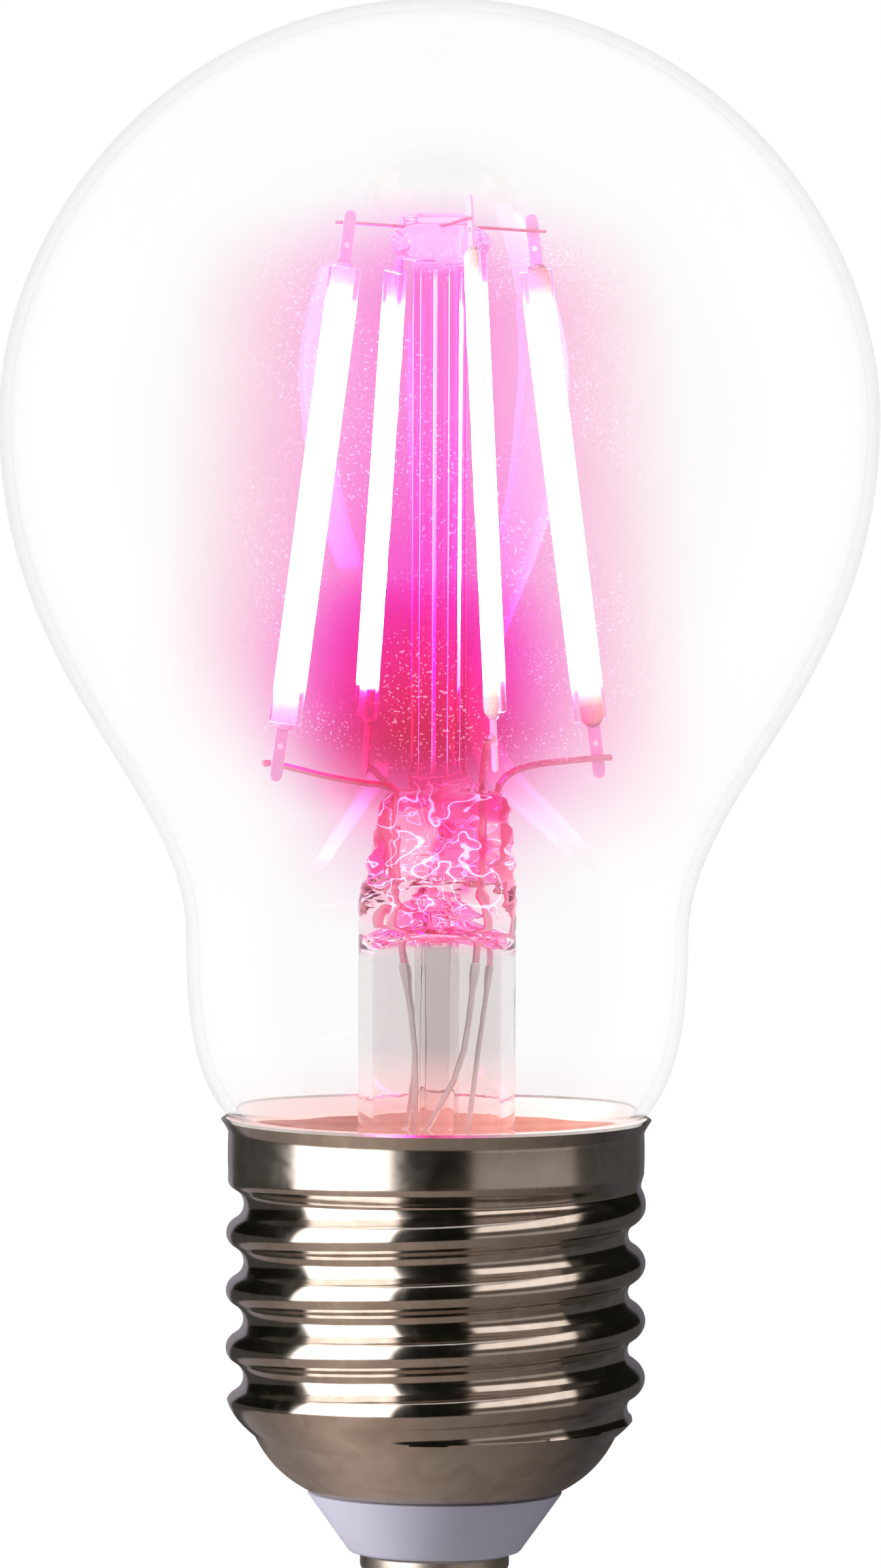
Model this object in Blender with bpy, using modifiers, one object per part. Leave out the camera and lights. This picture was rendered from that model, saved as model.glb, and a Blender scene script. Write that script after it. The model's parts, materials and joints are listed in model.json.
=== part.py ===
"""A clear glass grow light bulb with four filaments and a screw cap.

Metres, +Z up. The origin is the middle of the flat face of the centre contact,
so the bulb stands upright on its cap. +X is to the right as the bulb is seen
from the front, and the front looks along -Y.
"""

import math

import bmesh
import bpy
from mathutils import Matrix, Vector

# Centre contact: a pressed disc with a hollow rivet that holds its wire
CONTACT_RADIUS = 0.0047
CONTACT_HEIGHT = 0.0012
CONTACT_EDGE = 0.0005  # rounding of its lower edge
RIVET_RADIUS = 0.0016
RIVET_HEIGHT = 0.0062  # above the disc

# Insulator: a plain cone below the shell, and a flange that the cup holds
INSULATOR_TIP_RADIUS = 0.0053
INSULATOR_TOP_RADIUS = 0.0080
INSULATOR_HEIGHT = 0.0039
FLANGE_HEIGHT = 0.0010

# Screw shell, rolled from one sheet to the sizes of an E27 cap
SHEET = 0.00028
CUP_HEIGHT = 0.0035
CUP_TOP_RADIUS = 0.0114
CUP_BULGE = 0.00045
THREAD_RADIUS = 0.0132
THREAD_DEPTH = 0.0011
THREAD_PITCH = 0.003629
THREAD_HEIGHT = 0.0158
SHOULDER_HEIGHT = 0.0028  # over which the first turn grows out of the cup
COLLAR_RADIUS = 0.01308
COLLAR_HEIGHT = 0.0033
LIP_HEIGHT = 0.0008
LIP_FLARE = 0.00045

# Glass envelope, from the cap's lip upwards
GLASS_WALL = 0.0007
GLASS_RADIUS = 0.0276
NECK_RADIUS = 0.01577
NECK_RISE = 0.0115
BODY_RISE = 0.0325
DOME_RISE = 0.0263
SEAL_DEPTH = 0.0056  # how far the neck reaches into the cap

# How strongly each stretch of the outline keeps the direction of its ends
DOME_TOP_PULL = 0.608
DOME_SIDE_PULL = 0.465
BODY_SIDE_PULL = 0.514
BODY_NECK_PULL = 0.289
NECK_PULL = 0.63

# Glass foot: flared tube, pinch and the exhaust tube inside it
FOOT_HEIGHT = 0.0265
FOOT_WALL = 0.0009
TUBE_RADIUS = 0.00495
HOLLOW_DOME = 0.0025  # rise of the rounded top of the foot's hollow
FLARE_HEIGHT = 0.0066
PINCH_HEIGHT = 0.0083
PINCH_HALF_WIDTH = 0.00455
PINCH_HALF_THICKNESS = 0.0022
EXHAUST_RADIUS = 0.0014
EXHAUST_BORE = 0.0008
EXHAUST_REACH = 0.0031  # how far its closed tip hangs below the seal
BLOW_HOLE_DROP = 0.0022  # from the top of the pinch
BLOW_HOLE_RADIUS = 0.0005

# Rod on the foot, with its melted head
COLUMN_RADIUS = 0.0017
COLUMN_LENGTH = 0.0330
HEAD_RADIUS = 0.0029
HEAD_HEIGHT = 0.0030
SOCKET_DEPTH = 0.0010

# Filaments
FILAMENT_TOP_RING = 0.0065
FILAMENT_BOTTOM_RING = 0.0105
FILAMENT_SPAN = 0.0283
STRIP_WIDTH = 0.0021
STRIP_THICKNESS = 0.00045
GEL_WIDTH = 0.0015
GEL_THICKNESS = 0.00065
GEL_OVERHANG = 0.0003
TAB_WIDTH = 0.0008
TAB_THICKNESS = 0.00015
TAB_LENGTH = 0.0036
TAB_OVERLAP = 0.0014
TAB_HOLE_RADIUS = 0.00020
TAB_HOLE_DISTANCE = 0.0014  # from the end of the strip
TOP_WELD = 0.0027  # usual distance from the end of a strip to the wire on its upper tab

# Wires
SUPPORT_RADIUS = 0.00011
LEAD_RADIUS = 0.000225
OUTER_LEAD_RADIUS = 0.00018
WIRE_OVERHANG = 0.0008
KNOT_DROP = 0.0026  # from the bottom of the pinch to the weld knots
KNOT_STAGGER = 0.0003  # every second knot is this much lower

# Circuit board and what it carries
BOARD_WIDTH = 0.0160
BOARD_HEIGHT = 0.0122
BOARD_THICKNESS = 0.0008
BOARD_OFFSET = 0.0022  # its front face, behind the axis
LEAD_ROW_DROP = 0.0012  # from the top of the board to its row of holes
LEAD_ROW_DEPTH = 0.0030  # the row lies at least this much below the sealed glass
LEAD_TURN = (-0.0016, 0.0018)  # where a lead turns in, before its hole and above it
LEAD_ENTRY = (-0.0005, 0.0001)  # the same, right before the hole
TAIL_OVERHANG = 0.0004  # how far a soldered wire stands out behind the board
CHIP_BODY = (0.0048, 0.0039, 0.0014)
CHIP_LEG = 0.0004
CAPACITOR_RADIUS = 0.0025
CAPACITOR_LENGTH = 0.0080
RESISTOR_RADIUS = 0.0012
RESISTOR_LENGTH = 0.0062
RESISTOR_BEAD = 0.0013  # each thick end of its body, round the cap of the wire
RESISTOR_GAP = 0.0016  # from the rivet up to the resistor
RESISTOR_ENTRY_RISE = 0.0014  # from the resistor up to the hole of its lead
TAIL_ROOM = 0.0005  # how far the can may reach up past the tail of that lead
SHELL_HOLE_RISE = 0.0016  # from the bottom of the board to the hole of the shell lead
SHELL_LEAD_RISE = 0.0030  # from that hole up to where the lead meets the shell

# Clearances
SEAT_GAP = 0.00005  # faces that touch
WIRE_GAP = 0.00006  # all round a wire in its hole
CAP_GAP = 0.0001  # glass and cement inside the shell

# Facets
SHELL_STEPS = 32
RINGS_PER_PITCH = 6
GLASS_STEPS = 32
SMALL_STEPS = 20

# Where each filament stands round the axis, in degrees, how much higher it was welded,
# and how far from its strip the wires cross its upper and its lower tab
FILAMENTS = (
    (205.0, 0.00015, 0.0028, 0.0025),
    (117.0, -0.0001, 0.0031, 0.0032),
    (290.5, 0.0011, 0.0021, 0.0015),
    (23.0, 0.0, 0.0025, 0.0023),
)
SUPPORT_PAIRS = {"left": (0, 1), "right": (2, 3)}

# Heights that follow from the lengths above
insulator_bottom = CONTACT_HEIGHT
cup_bottom = insulator_bottom + INSULATOR_HEIGHT
cup_top = cup_bottom + CUP_HEIGHT
thread_top = cup_top + THREAD_HEIGHT
collar_top = thread_top + COLLAR_HEIGHT
lip_top = collar_top + LIP_HEIGHT
seal_bottom = lip_top - SEAL_DEPTH
neck_height = lip_top + NECK_RISE
widest_height = neck_height + BODY_RISE
pinch_top = seal_bottom + FOOT_HEIGHT
pinch_bottom = pinch_top - PINCH_HEIGHT
head_bottom = pinch_top + COLUMN_LENGTH
support_height = head_bottom + 0.7 * HEAD_HEIGHT
board_bottom = cup_bottom + 0.6 * CUP_HEIGHT + SHEET + FLANGE_HEIGHT
board_top = board_bottom + BOARD_HEIGHT
lead_row = min(board_top - LEAD_ROW_DROP, seal_bottom - LEAD_ROW_DEPTH)
resistor_low = insulator_bottom + RIVET_HEIGHT + RESISTOR_GAP
resistor_top = resistor_low + RESISTOR_LENGTH
resistor_entry = resistor_top + RESISTOR_ENTRY_RISE
can_height = min(board_bottom + BOARD_HEIGHT / 2, resistor_entry + TAIL_ROOM - CAPACITOR_RADIUS)

# Radii that follow from the sizes above
mouth_radius = INSULATOR_TOP_RADIUS - 0.00015
collar_inner = COLLAR_RADIUS - SHEET
root_inner = THREAD_RADIUS - THREAD_DEPTH - SHEET
tube_inner = TUBE_RADIUS - FOOT_WALL
neck_end_radius = root_inner - 5 * CAP_GAP
flare_radius = neck_end_radius - GLASS_WALL - CAP_GAP


for old in list(bpy.data.objects):
    bpy.data.objects.remove(old, do_unlink=True)

parts = bpy.data.collections.new("grow_light_bulb")
cutters = bpy.data.collections.new("cutters")
cutters.hide_render = True
for collection in (parts, cutters):
    bpy.context.scene.collection.children.link(collection)


# Materials

def finish(name, colour, roughness, metallic=0.0, transmission=0.0, glow=0.0):
    """A Principled material in the part's own colour."""
    material = bpy.data.materials.new(name)
    material.use_nodes = True
    shader = material.node_tree.nodes["Principled BSDF"]
    shader.inputs["Base Color"].default_value = (*colour, 1.0)
    shader.inputs["Roughness"].default_value = roughness
    shader.inputs["Metallic"].default_value = metallic
    shader.inputs["Transmission Weight"].default_value = transmission
    if glow:
        shader.inputs["Emission Color"].default_value = (*colour, 1.0)
        shader.inputs["Emission Strength"].default_value = glow
    return material


clear_glass = finish("clear_glass", (1.0, 1.0, 1.0), 0.02, transmission=1.0)
pink_phosphor = finish("pink_phosphor", (1.0, 0.55, 0.72), 0.5, glow=2.0)
strip_ceramic = finish("strip_ceramic", (0.93, 0.88, 0.92), 0.15, transmission=0.6)
plated_steel = finish("plated_steel", (0.72, 0.66, 0.66), 0.3, metallic=1.0)
nickel_wire = finish("nickel_wire", (0.62, 0.58, 0.57), 0.35, metallic=1.0)
copper_wire = finish("copper_wire", (0.72, 0.45, 0.36), 0.35, metallic=1.0)
nickel_shell = finish("nickel_shell", (0.66, 0.61, 0.57), 0.22, metallic=1.0)
pale_plastic = finish("pale_plastic", (0.72, 0.70, 0.80), 0.5)
grey_cement = finish("grey_cement", (0.60, 0.57, 0.52), 0.9)
board_laminate = finish("board_laminate", (0.10, 0.30, 0.16), 0.5)
black_moulding = finish("black_moulding", (0.03, 0.03, 0.03), 0.45)
resistor_enamel = finish("resistor_enamel", (0.35, 0.55, 0.62), 0.4)


# Helpers

def add_object(name, data, material, collection=parts):
    """Puts a mesh or curve into the scene as one named object."""
    item = bpy.data.objects.new(name, data)
    collection.objects.link(item)
    if material:
        data.materials.append(material)
    if collection is cutters:
        item.hide_render = True
        item.display_type = "WIRE"
    return item


def smooth(item, angle=35.0):
    """Shades a round piece smooth, with its real edges kept sharp."""
    item.data.shade_smooth()
    item.data.set_sharp_from_angle(angle=math.radians(angle))
    return item


def baked(item):
    """Turns a curve or a modified object into a plain mesh under the same name."""
    bpy.context.view_layer.update()
    evaluated = item.evaluated_get(bpy.context.evaluated_depsgraph_get())
    mesh = bpy.data.meshes.new_from_object(evaluated)
    name, collection = item.name, item.users_collection[0]
    place = item.matrix_world.copy()
    bpy.data.objects.remove(item, do_unlink=True)
    work = bmesh.new()
    work.from_mesh(mesh)
    bmesh.ops.remove_doubles(work, verts=work.verts, dist=1e-7)
    bmesh.ops.recalc_face_normals(work, faces=work.faces)
    work.to_mesh(mesh)
    work.free()
    solid = add_object(name, mesh, None, collection)
    solid.matrix_world = place
    return solid


def turned(name, outline, material, steps=SMALL_STEPS, ring=False, collection=parts):
    """Spins (radius, height) points, which run down the outer side, round the Z axis."""
    count = len(outline)
    edges = [(i, i + 1) for i in range(count - 1)]
    if ring:
        edges.append((count - 1, 0))
    mesh = bpy.data.meshes.new(name)
    mesh.from_pydata([(radius, 0.0, height) for radius, height in outline], edges, [])
    item = add_object(name, mesh, material, collection)
    spin = item.modifiers.new("spin", "SCREW")
    spin.axis = "Z"
    spin.angle = math.tau
    spin.steps = steps
    spin.render_steps = steps
    spin.use_merge_vertices = True
    spin.merge_threshold = 1e-6
    spin.use_smooth_shade = True
    return item


def rod(name, radius, start, end, steps=12, material=None, collection=cutters):
    """A plain cylinder between two points."""
    start, end = Vector(start), Vector(end)
    axis = end - start
    mesh = bpy.data.meshes.new(name)
    work = bmesh.new()
    bmesh.ops.create_cone(
        work, cap_ends=True, segments=steps, radius1=radius, radius2=radius, depth=axis.length
    )
    work.to_mesh(mesh)
    work.free()
    item = add_object(name, mesh, material, collection)
    turn = axis.to_track_quat("Z", "Y").to_matrix().to_4x4()
    item.matrix_world = Matrix.Translation((start + end) / 2) @ turn
    return item


def block(name, size, place, material, collection=parts, bevel=0.0):
    """A box of the given size, with its edges broken."""
    mesh = bpy.data.meshes.new(name)
    work = bmesh.new()
    bmesh.ops.create_cube(work, size=1.0)
    bmesh.ops.scale(work, vec=size, verts=work.verts)
    work.to_mesh(mesh)
    work.free()
    item = add_object(name, mesh, material, collection)
    item.matrix_world = place if isinstance(place, Matrix) else Matrix.Translation(place)
    if bevel:
        edge = item.modifiers.new("edge", "BEVEL")
        edge.width = bevel
        edge.segments = 1
    return item


def curve_through(points, between=3):
    """Extra points on a smooth curve through the given ones."""
    points = [Vector(point) for point in points]
    ends = [2 * points[0] - points[1], *points, 2 * points[-1] - points[-2]]
    found = []
    for i in range(1, len(ends) - 2):
        before, start, end, after = ends[i - 1 : i + 3]
        for step in range(between):
            t = step / between
            found.append(
                0.5
                * (
                    2 * start
                    + (end - before) * t
                    + (2 * before - 5 * start + 4 * end - after) * t**2
                    + (3 * start - before - 3 * end + after) * t**3
                )
            )
    return [*found, points[-1]]


def wire(name, points, radius, material, collection=parts, swell=()):
    """A round wire along the points. Swell gives the points that a weld bead widens."""
    data = bpy.data.curves.new(name, "CURVE")
    data.dimensions = "3D"
    data.bevel_depth = radius
    data.bevel_resolution = 1
    data.use_fill_caps = True
    spline = data.splines.new("POLY")
    spline.points.add(len(points) - 1)
    for index, (target, point) in enumerate(zip(spline.points, points)):
        target.co = (*point, 1.0)
        target.radius = 1.7 if index in swell else 1.0
    return add_object(name, data, material, collection)


def cut(item, tool, operation="DIFFERENCE"):
    """A Boolean that stays on the piece."""
    change = item.modifiers.new(tool.name, "BOOLEAN")
    change.operation = operation
    change.object = tool
    change.solver = "EXACT"
    return item


def bezier(start, first, second, end, count):
    """Points along one Bezier stretch of an outline, without its last point."""
    found = []
    for step in range(count):
        t = step / count
        weights = ((1 - t) ** 3, 3 * t * (1 - t) ** 2, 3 * t**2 * (1 - t), t**3)
        corners = (start, first, second, end)
        found.append(tuple(sum(w * c[k] for w, c in zip(weights, corners)) for k in (0, 1)))
    return found


def ease(value):
    """A smooth step from 0 to 1."""
    value = min(1.0, max(0.0, value))
    return value * value * (3 - 2 * value)


def at(angle, radius, height):
    """A point given by its direction round the axis in degrees, its radius and its height."""
    turn = math.radians(angle)
    return Vector((radius * math.cos(turn), radius * math.sin(turn), height))


# Screw shell

def cup_point(share):
    """Outer outline of the cup, from its mouth at 0 to its top at 1."""
    swell = CUP_BULGE * 4 * share * (1 - share) / math.sqrt(2)
    radius = mouth_radius + (CUP_TOP_RADIUS - mouth_radius) * share + swell
    return radius, cup_bottom + CUP_HEIGHT * share - swell


def thread_outline(offset):
    """Depth below the crest at this height from it: two equal arcs that meet smoothly."""
    half_pitch = THREAD_PITCH / 2
    arc = (half_pitch**2 + THREAD_DEPTH**2) / (4 * THREAD_DEPTH)
    offset = min(abs(offset), half_pitch)
    if offset < half_pitch / 2:
        return arc - math.sqrt(arc**2 - offset**2)
    return THREAD_DEPTH - arc + math.sqrt(arc**2 - (half_pitch - offset) ** 2)


def thread_radius_at(height, turn):
    """Radius of the rolled thread, right-handed, at a height and a direction in turns."""
    first_crest = cup_top + 0.00002
    phase = (height - first_crest) / THREAD_PITCH - turn
    groove = first_crest + THREAD_PITCH * (math.floor(phase) + 0.5 + turn)
    depth = thread_outline((phase - round(phase)) * THREAD_PITCH)
    starts = ease((groove - cup_top - 0.0001) / 0.0008)
    ends = ease((thread_top + 0.0003 - groove) / 0.0013)
    crest = THREAD_RADIUS + (COLLAR_RADIUS - THREAD_RADIUS) * ease(
        (height - thread_top + THREAD_PITCH / 2) / (THREAD_PITCH / 2)
    )
    left = 1 - min(1.0, (height - cup_top) / SHOULDER_HEIGHT)
    shoulder = CUP_TOP_RADIUS + (THREAD_RADIUS - CUP_TOP_RADIUS) * (1 - left**2)
    return min(crest - depth * starts * ends, shoulder)


def shell_rings():
    """Heights of the shell's rings, each with a function that gives its radius."""
    rings = []
    for step in range(5):
        radius, height = cup_point(step / 5)
        rings.append((height, lambda turn, radius=radius: radius))
    count = max(8, round(RINGS_PER_PITCH * THREAD_HEIGHT / THREAD_PITCH))
    for step in range(count):
        height = cup_top + THREAD_HEIGHT * step / count
        rings.append((height, lambda turn, height=height: thread_radius_at(height, turn)))
    for height in (thread_top, collar_top):
        rings.append((height, lambda turn: COLLAR_RADIUS))
    for share in (0.5, 1.0):
        radius = COLLAR_RADIUS + LIP_FLARE * share
        rings.append((collar_top + LIP_HEIGHT * share, lambda turn, radius=radius: radius))
    return rings


def build_shell():
    """The rolled sheet: rings of points joined into one open surface, then given its thickness."""
    work = bmesh.new()
    rows = []
    for height, radius_at in shell_rings():
        row = []
        for step in range(SHELL_STEPS):
            turn = step / SHELL_STEPS
            row.append(work.verts.new(at(360 * turn, radius_at(turn), height)))
        rows.append(row)
    for lower, upper in zip(rows, rows[1:]):
        for i in range(SHELL_STEPS):
            j = (i + 1) % SHELL_STEPS
            work.faces.new((lower[i], lower[j], upper[j], upper[i]))
    mesh = bpy.data.meshes.new("base_shell")
    work.to_mesh(mesh)
    work.free()
    shell = add_object("base_shell", mesh, nickel_shell)
    sheet = shell.modifiers.new("sheet", "SOLIDIFY")
    sheet.thickness = SHEET
    sheet.offset = -1.0
    smooth(shell, 60.0)


# Insulator, contact and cement

def build_insulator():
    """The cone, its narrow waist in the cup's mouth, and the flange above it."""
    inward = (SHEET + SEAT_GAP) / math.sqrt(2)
    flange_radius, flange_low = cup_point(0.38)
    flange_radius -= inward
    flange_low += inward + SEAT_GAP
    waist = mouth_radius - SHEET - SEAT_GAP
    bore = RIVET_RADIUS + SEAT_GAP
    top = flange_low + FLANGE_HEIGHT
    outline = [
        (bore, top),
        (flange_radius - 0.3 * FLANGE_HEIGHT, top),
        (flange_radius, top - 0.3 * FLANGE_HEIGHT),
        (flange_radius, flange_low),
        (waist, cup_bottom + 2 * inward + SEAT_GAP),
        (waist, cup_bottom - SEAT_GAP),
        (INSULATOR_TOP_RADIUS, cup_bottom - SEAT_GAP),
        (INSULATOR_TIP_RADIUS + 0.0002, insulator_bottom + 0.00025),
        (INSULATOR_TIP_RADIUS - 0.0002, insulator_bottom),
        (bore, insulator_bottom),
    ]
    turned("cap_insulator", outline, pale_plastic, steps=28, ring=True)


def build_contact():
    """The pressed disc with its rounded edge, and the hollow rivet that stands on it."""
    bore = OUTER_LEAD_RADIUS + 2 * WIRE_GAP
    rim_top = insulator_bottom - SEAT_GAP
    rivet_top = insulator_bottom + RIVET_HEIGHT
    rounding = []
    for step in range(4):
        turn = math.radians(90 * step / 3)
        rounding.append(
            (
                CONTACT_RADIUS - CONTACT_EDGE * (1 - math.cos(turn)),
                CONTACT_EDGE * (1 - math.sin(turn)),
            )
        )
    outline = [
        (0.0, rim_top),
        (bore, rim_top),
        (bore, rivet_top),
        (RIVET_RADIUS, rivet_top),
        (RIVET_RADIUS, rim_top),
        (CONTACT_RADIUS, rim_top),
        *rounding,
        (0.0, 0.0),
    ]
    turned("centre_contact", outline, nickel_shell, steps=24)


def build_cement():
    """The ring between the neck and the collar, thicker towards its foot."""
    neck = glass_outline()
    low, high = thread_top + 0.0003, collar_top - 0.0004
    inner = [
        (radius + CAP_GAP, height) for radius, height in neck if low < height < high
    ]
    outer = collar_inner - CAP_GAP
    outline = [
        (outer, high),
        (outer, low),
        (neck_radius_at(low) + CAP_GAP, low),
        *reversed(inner),
        (min(neck_radius_at(high) + CAP_GAP, outer - CAP_GAP), high),
    ]
    turned("base_cement", outline, grey_cement, steps=GLASS_STEPS, ring=True)


# Glass envelope

def glass_outline():
    """Outer outline from the top of the dome down into the cap."""
    top = (0.0, widest_height + DOME_RISE)
    side = (GLASS_RADIUS, widest_height)
    neck = (NECK_RADIUS, neck_height)
    seat = (COLLAR_RADIUS + CAP_GAP, lip_top + 2 * CAP_GAP)
    end = (neck_end_radius, seal_bottom)
    dome = bezier(
        top,
        (DOME_TOP_PULL * GLASS_RADIUS, top[1]),
        (GLASS_RADIUS, widest_height + DOME_SIDE_PULL * DOME_RISE),
        side,
        7,
    )
    body = bezier(
        side,
        (GLASS_RADIUS, widest_height - BODY_SIDE_PULL * BODY_RISE),
        (NECK_RADIUS, neck_height + BODY_NECK_PULL * BODY_RISE),
        neck,
        7,
    )
    stretch = bezier(
        neck,
        (NECK_RADIUS, neck_height - NECK_PULL * NECK_RISE),
        (seat[0] + 0.0014, seat[1] + 0.0019),
        seat,
        5,
    )
    inside = bezier(
        seat,
        (collar_inner - CAP_GAP, lip_top - 2.5 * CAP_GAP),
        (collar_inner - 6 * CAP_GAP, collar_top - 9 * CAP_GAP),
        end,
        4,
    )
    return [*dome, *body, *stretch, *inside, end]


def neck_radius_at(height):
    """Outer radius of the glass at a height inside the cap."""
    points = [point for point in glass_outline() if point[1] <= lip_top + 2 * CAP_GAP]
    for (upper_radius, upper), (lower_radius, lower) in zip(points, points[1:]):
        if lower <= height <= upper:
            share = (height - lower) / (upper - lower)
            return lower_radius + (upper_radius - lower_radius) * share
    return points[-1][0]


def build_envelope():
    """The blown bulb: its outer outline spun round, with the wall inside."""
    bulb = turned("glass_envelope", glass_outline(), clear_glass, steps=GLASS_STEPS)
    wall = bulb.modifiers.new("wall", "SOLIDIFY")
    wall.thickness = GLASS_WALL
    wall.offset = -1.0


# Glass foot

def pinch_section(half_width, half_thickness, squareness, height, count=24):
    """One section of the foot: a circle at squareness 2, a flattened block above that."""
    found = []
    for step in range(count):
        turn = math.tau * step / count
        cosine, sine = math.cos(turn), math.sin(turn)
        power = 2 / squareness
        x = half_width * math.copysign(abs(cosine) ** power, cosine)
        y = half_thickness * math.copysign(abs(sine) ** power, sine)
        found.append((x, y, height))
    return found


def flare_radius_at(rise):
    """Outer radius of the flared tube at this height above the seal."""
    left = max(0.0, 1 - rise / FLARE_HEIGHT)
    return TUBE_RADIUS + (flare_radius - TUBE_RADIUS) * left**3.5


def foot_sections():
    """Sections from the sealed rim up to the rounded top of the pinch."""
    sections = []
    for rise in (0.0, 0.05, 0.12, 0.22, 0.36, 0.56, 1.0):
        radius = flare_radius_at(rise * FLARE_HEIGHT)
        sections.append((radius, radius, 2.0, seal_bottom + rise * FLARE_HEIGHT))
    for share in (0.0, 0.12, 0.25, 0.38):
        flat = ease(share / 0.38)
        sections.append(
            (
                TUBE_RADIUS + (PINCH_HALF_WIDTH - TUBE_RADIUS) * flat,
                TUBE_RADIUS + (PINCH_HALF_THICKNESS - TUBE_RADIUS) * flat,
                2.0 + 1.0 * flat,
                pinch_bottom + share * PINCH_HEIGHT,
            )
        )
    for share, width, thickness in (
        (0.65, 0.97, 0.95),
        (0.88, 1.0, 1.0),
        (0.96, 0.93, 0.86),
        (1.0, 0.78, 0.6),
    ):
        sections.append(
            (
                PINCH_HALF_WIDTH * width,
                PINCH_HALF_THICKNESS * thickness,
                3.0,
                pinch_bottom + share * PINCH_HEIGHT,
            )
        )
    return sections


def lofted(name, sections, material):
    """Joins sections of equal point count into one closed solid."""
    work = bmesh.new()
    rows = [[work.verts.new(point) for point in pinch_section(*section)] for section in sections]
    count = len(rows[0])
    for lower, upper in zip(rows, rows[1:]):
        for i in range(count):
            j = (i + 1) % count
            work.faces.new((lower[i], lower[j], upper[j], upper[i]))
    work.faces.new(list(reversed(rows[0])))
    work.faces.new(rows[-1])
    mesh = bpy.data.meshes.new(name)
    work.to_mesh(mesh)
    work.free()
    return add_object(name, mesh, material)


def build_foot(lead_tools):
    """Flared tube and pinch in one piece of glass, hollow below and pierced by the leads."""
    foot = lofted("stem_flare", foot_sections(), clear_glass)
    hollow_top = pinch_bottom + 0.02 * PINCH_HEIGHT
    below = seal_bottom - 4 * CAP_GAP
    hollow = [(0.0, hollow_top), (0.55 * tube_inner, hollow_top - 0.12 * HOLLOW_DOME)]
    hollow += [(0.9 * tube_inner, hollow_top - 0.44 * HOLLOW_DOME), (tube_inner, hollow_top - HOLLOW_DOME)]
    for rise in (1.0, 0.56, 0.36, 0.22, 0.12, 0.05):
        height = rise * FLARE_HEIGHT
        radius = flare_radius_at(height + FOOT_WALL) - FOOT_WALL
        hollow.append((radius, seal_bottom + height))
    last = flare_radius_at(FOOT_WALL) - FOOT_WALL
    hollow += [(last, below), (0.0, below)]
    cut(foot, turned("foot_hollow", hollow, None, steps=24, collection=cutters))
    socket = EXHAUST_RADIUS + SEAT_GAP
    socket_top = hollow_top + SOCKET_DEPTH
    hole_height = pinch_top - BLOW_HOLE_DROP
    floor = hollow_top - SOCKET_DEPTH
    cut(foot, rod("exhaust_socket", socket, (0, 0, floor), (0, 0, socket_top), SMALL_STEPS))
    cut(foot, rod("exhaust_way", BLOW_HOLE_RADIUS, (0, 0, floor), (0, 0, hole_height)))
    front = (0, -2 * PINCH_HALF_THICKNESS, hole_height)
    cut(foot, rod("blow_hole", BLOW_HOLE_RADIUS, (0, 0, hole_height), front))
    above = pinch_top + SOCKET_DEPTH
    seat = (0, 0, pinch_top - SOCKET_DEPTH)
    cut(foot, rod("column_socket", COLUMN_RADIUS + SEAT_GAP, seat, (0, 0, above), SMALL_STEPS))
    for tool in lead_tools:
        cut(foot, tool)
    smooth(baked(foot), 40.0).data.materials.append(clear_glass)


def build_exhaust_tube():
    """Open at the top, melted to a closed tip below."""
    top = pinch_bottom + 0.02 * PINCH_HEIGHT + SOCKET_DEPTH - SEAT_GAP
    tip = seal_bottom - EXHAUST_REACH
    outline = [
        (0.0, tip + 0.0014),
        (0.6 * EXHAUST_BORE, tip + 0.0017),
        (EXHAUST_BORE, tip + 0.0026),
        (EXHAUST_BORE, top),
        (EXHAUST_RADIUS, top),
        (EXHAUST_RADIUS, tip + 0.0022),
        (0.8 * EXHAUST_RADIUS, tip + 0.0012),
        (0.35 * EXHAUST_RADIUS, tip + 0.0004),
        (0.0, tip),
    ]
    turned("exhaust_tube", outline, clear_glass, steps=16)


def build_column(support_tools):
    """The rod and its melted head in one piece, pierced by the two top wires."""
    low = pinch_top - SOCKET_DEPTH + SEAT_GAP
    outline = [
        (0.0, head_bottom + HEAD_HEIGHT),
        (0.55 * HEAD_RADIUS, head_bottom + HEAD_HEIGHT),
        (0.70 * HEAD_RADIUS, head_bottom + 0.94 * HEAD_HEIGHT),
        (0.72 * HEAD_RADIUS, head_bottom + 0.78 * HEAD_HEIGHT),
        (0.88 * HEAD_RADIUS, head_bottom + 0.68 * HEAD_HEIGHT),
        (HEAD_RADIUS, head_bottom + 0.46 * HEAD_HEIGHT),
        (0.97 * HEAD_RADIUS, head_bottom + 0.22 * HEAD_HEIGHT),
        (0.82 * HEAD_RADIUS, head_bottom + 0.04 * HEAD_HEIGHT),
        (COLUMN_RADIUS + 0.0003, head_bottom),
        (COLUMN_RADIUS, head_bottom - 0.0003),
        (COLUMN_RADIUS, low),
        (0.0, low),
    ]
    column = turned("stem_column", outline, clear_glass, steps=20)
    for tool in support_tools:
        cut(column, tool)
    smooth(baked(column), 40.0).data.materials.append(clear_glass)


# Filaments

def filament_frame(number):
    """Place of a strip: X points away from the axis, -Y to the coated side, Z up its length."""
    angle, lift = FILAMENTS[number][:2]
    top_height = support_height - TOP_WELD + lift
    top = at(angle, FILAMENT_TOP_RING, top_height)
    bottom = at(angle, FILAMENT_BOTTOM_RING, top_height - FILAMENT_SPAN)
    along = (top - bottom).normalized()
    coated = at(angle - 90, 1.0, 0.0)
    outward = along.cross(coated)
    frame = Matrix((outward, -coated, along)).transposed().to_4x4()
    return Matrix.Translation((top + bottom) / 2) @ frame, (top - bottom).length


def tab_depth():
    """How far the middle of a tab lies from the middle of its strip."""
    return -(STRIP_THICKNESS / 2 + SEAT_GAP + TAB_THICKNESS / 2)


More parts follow.
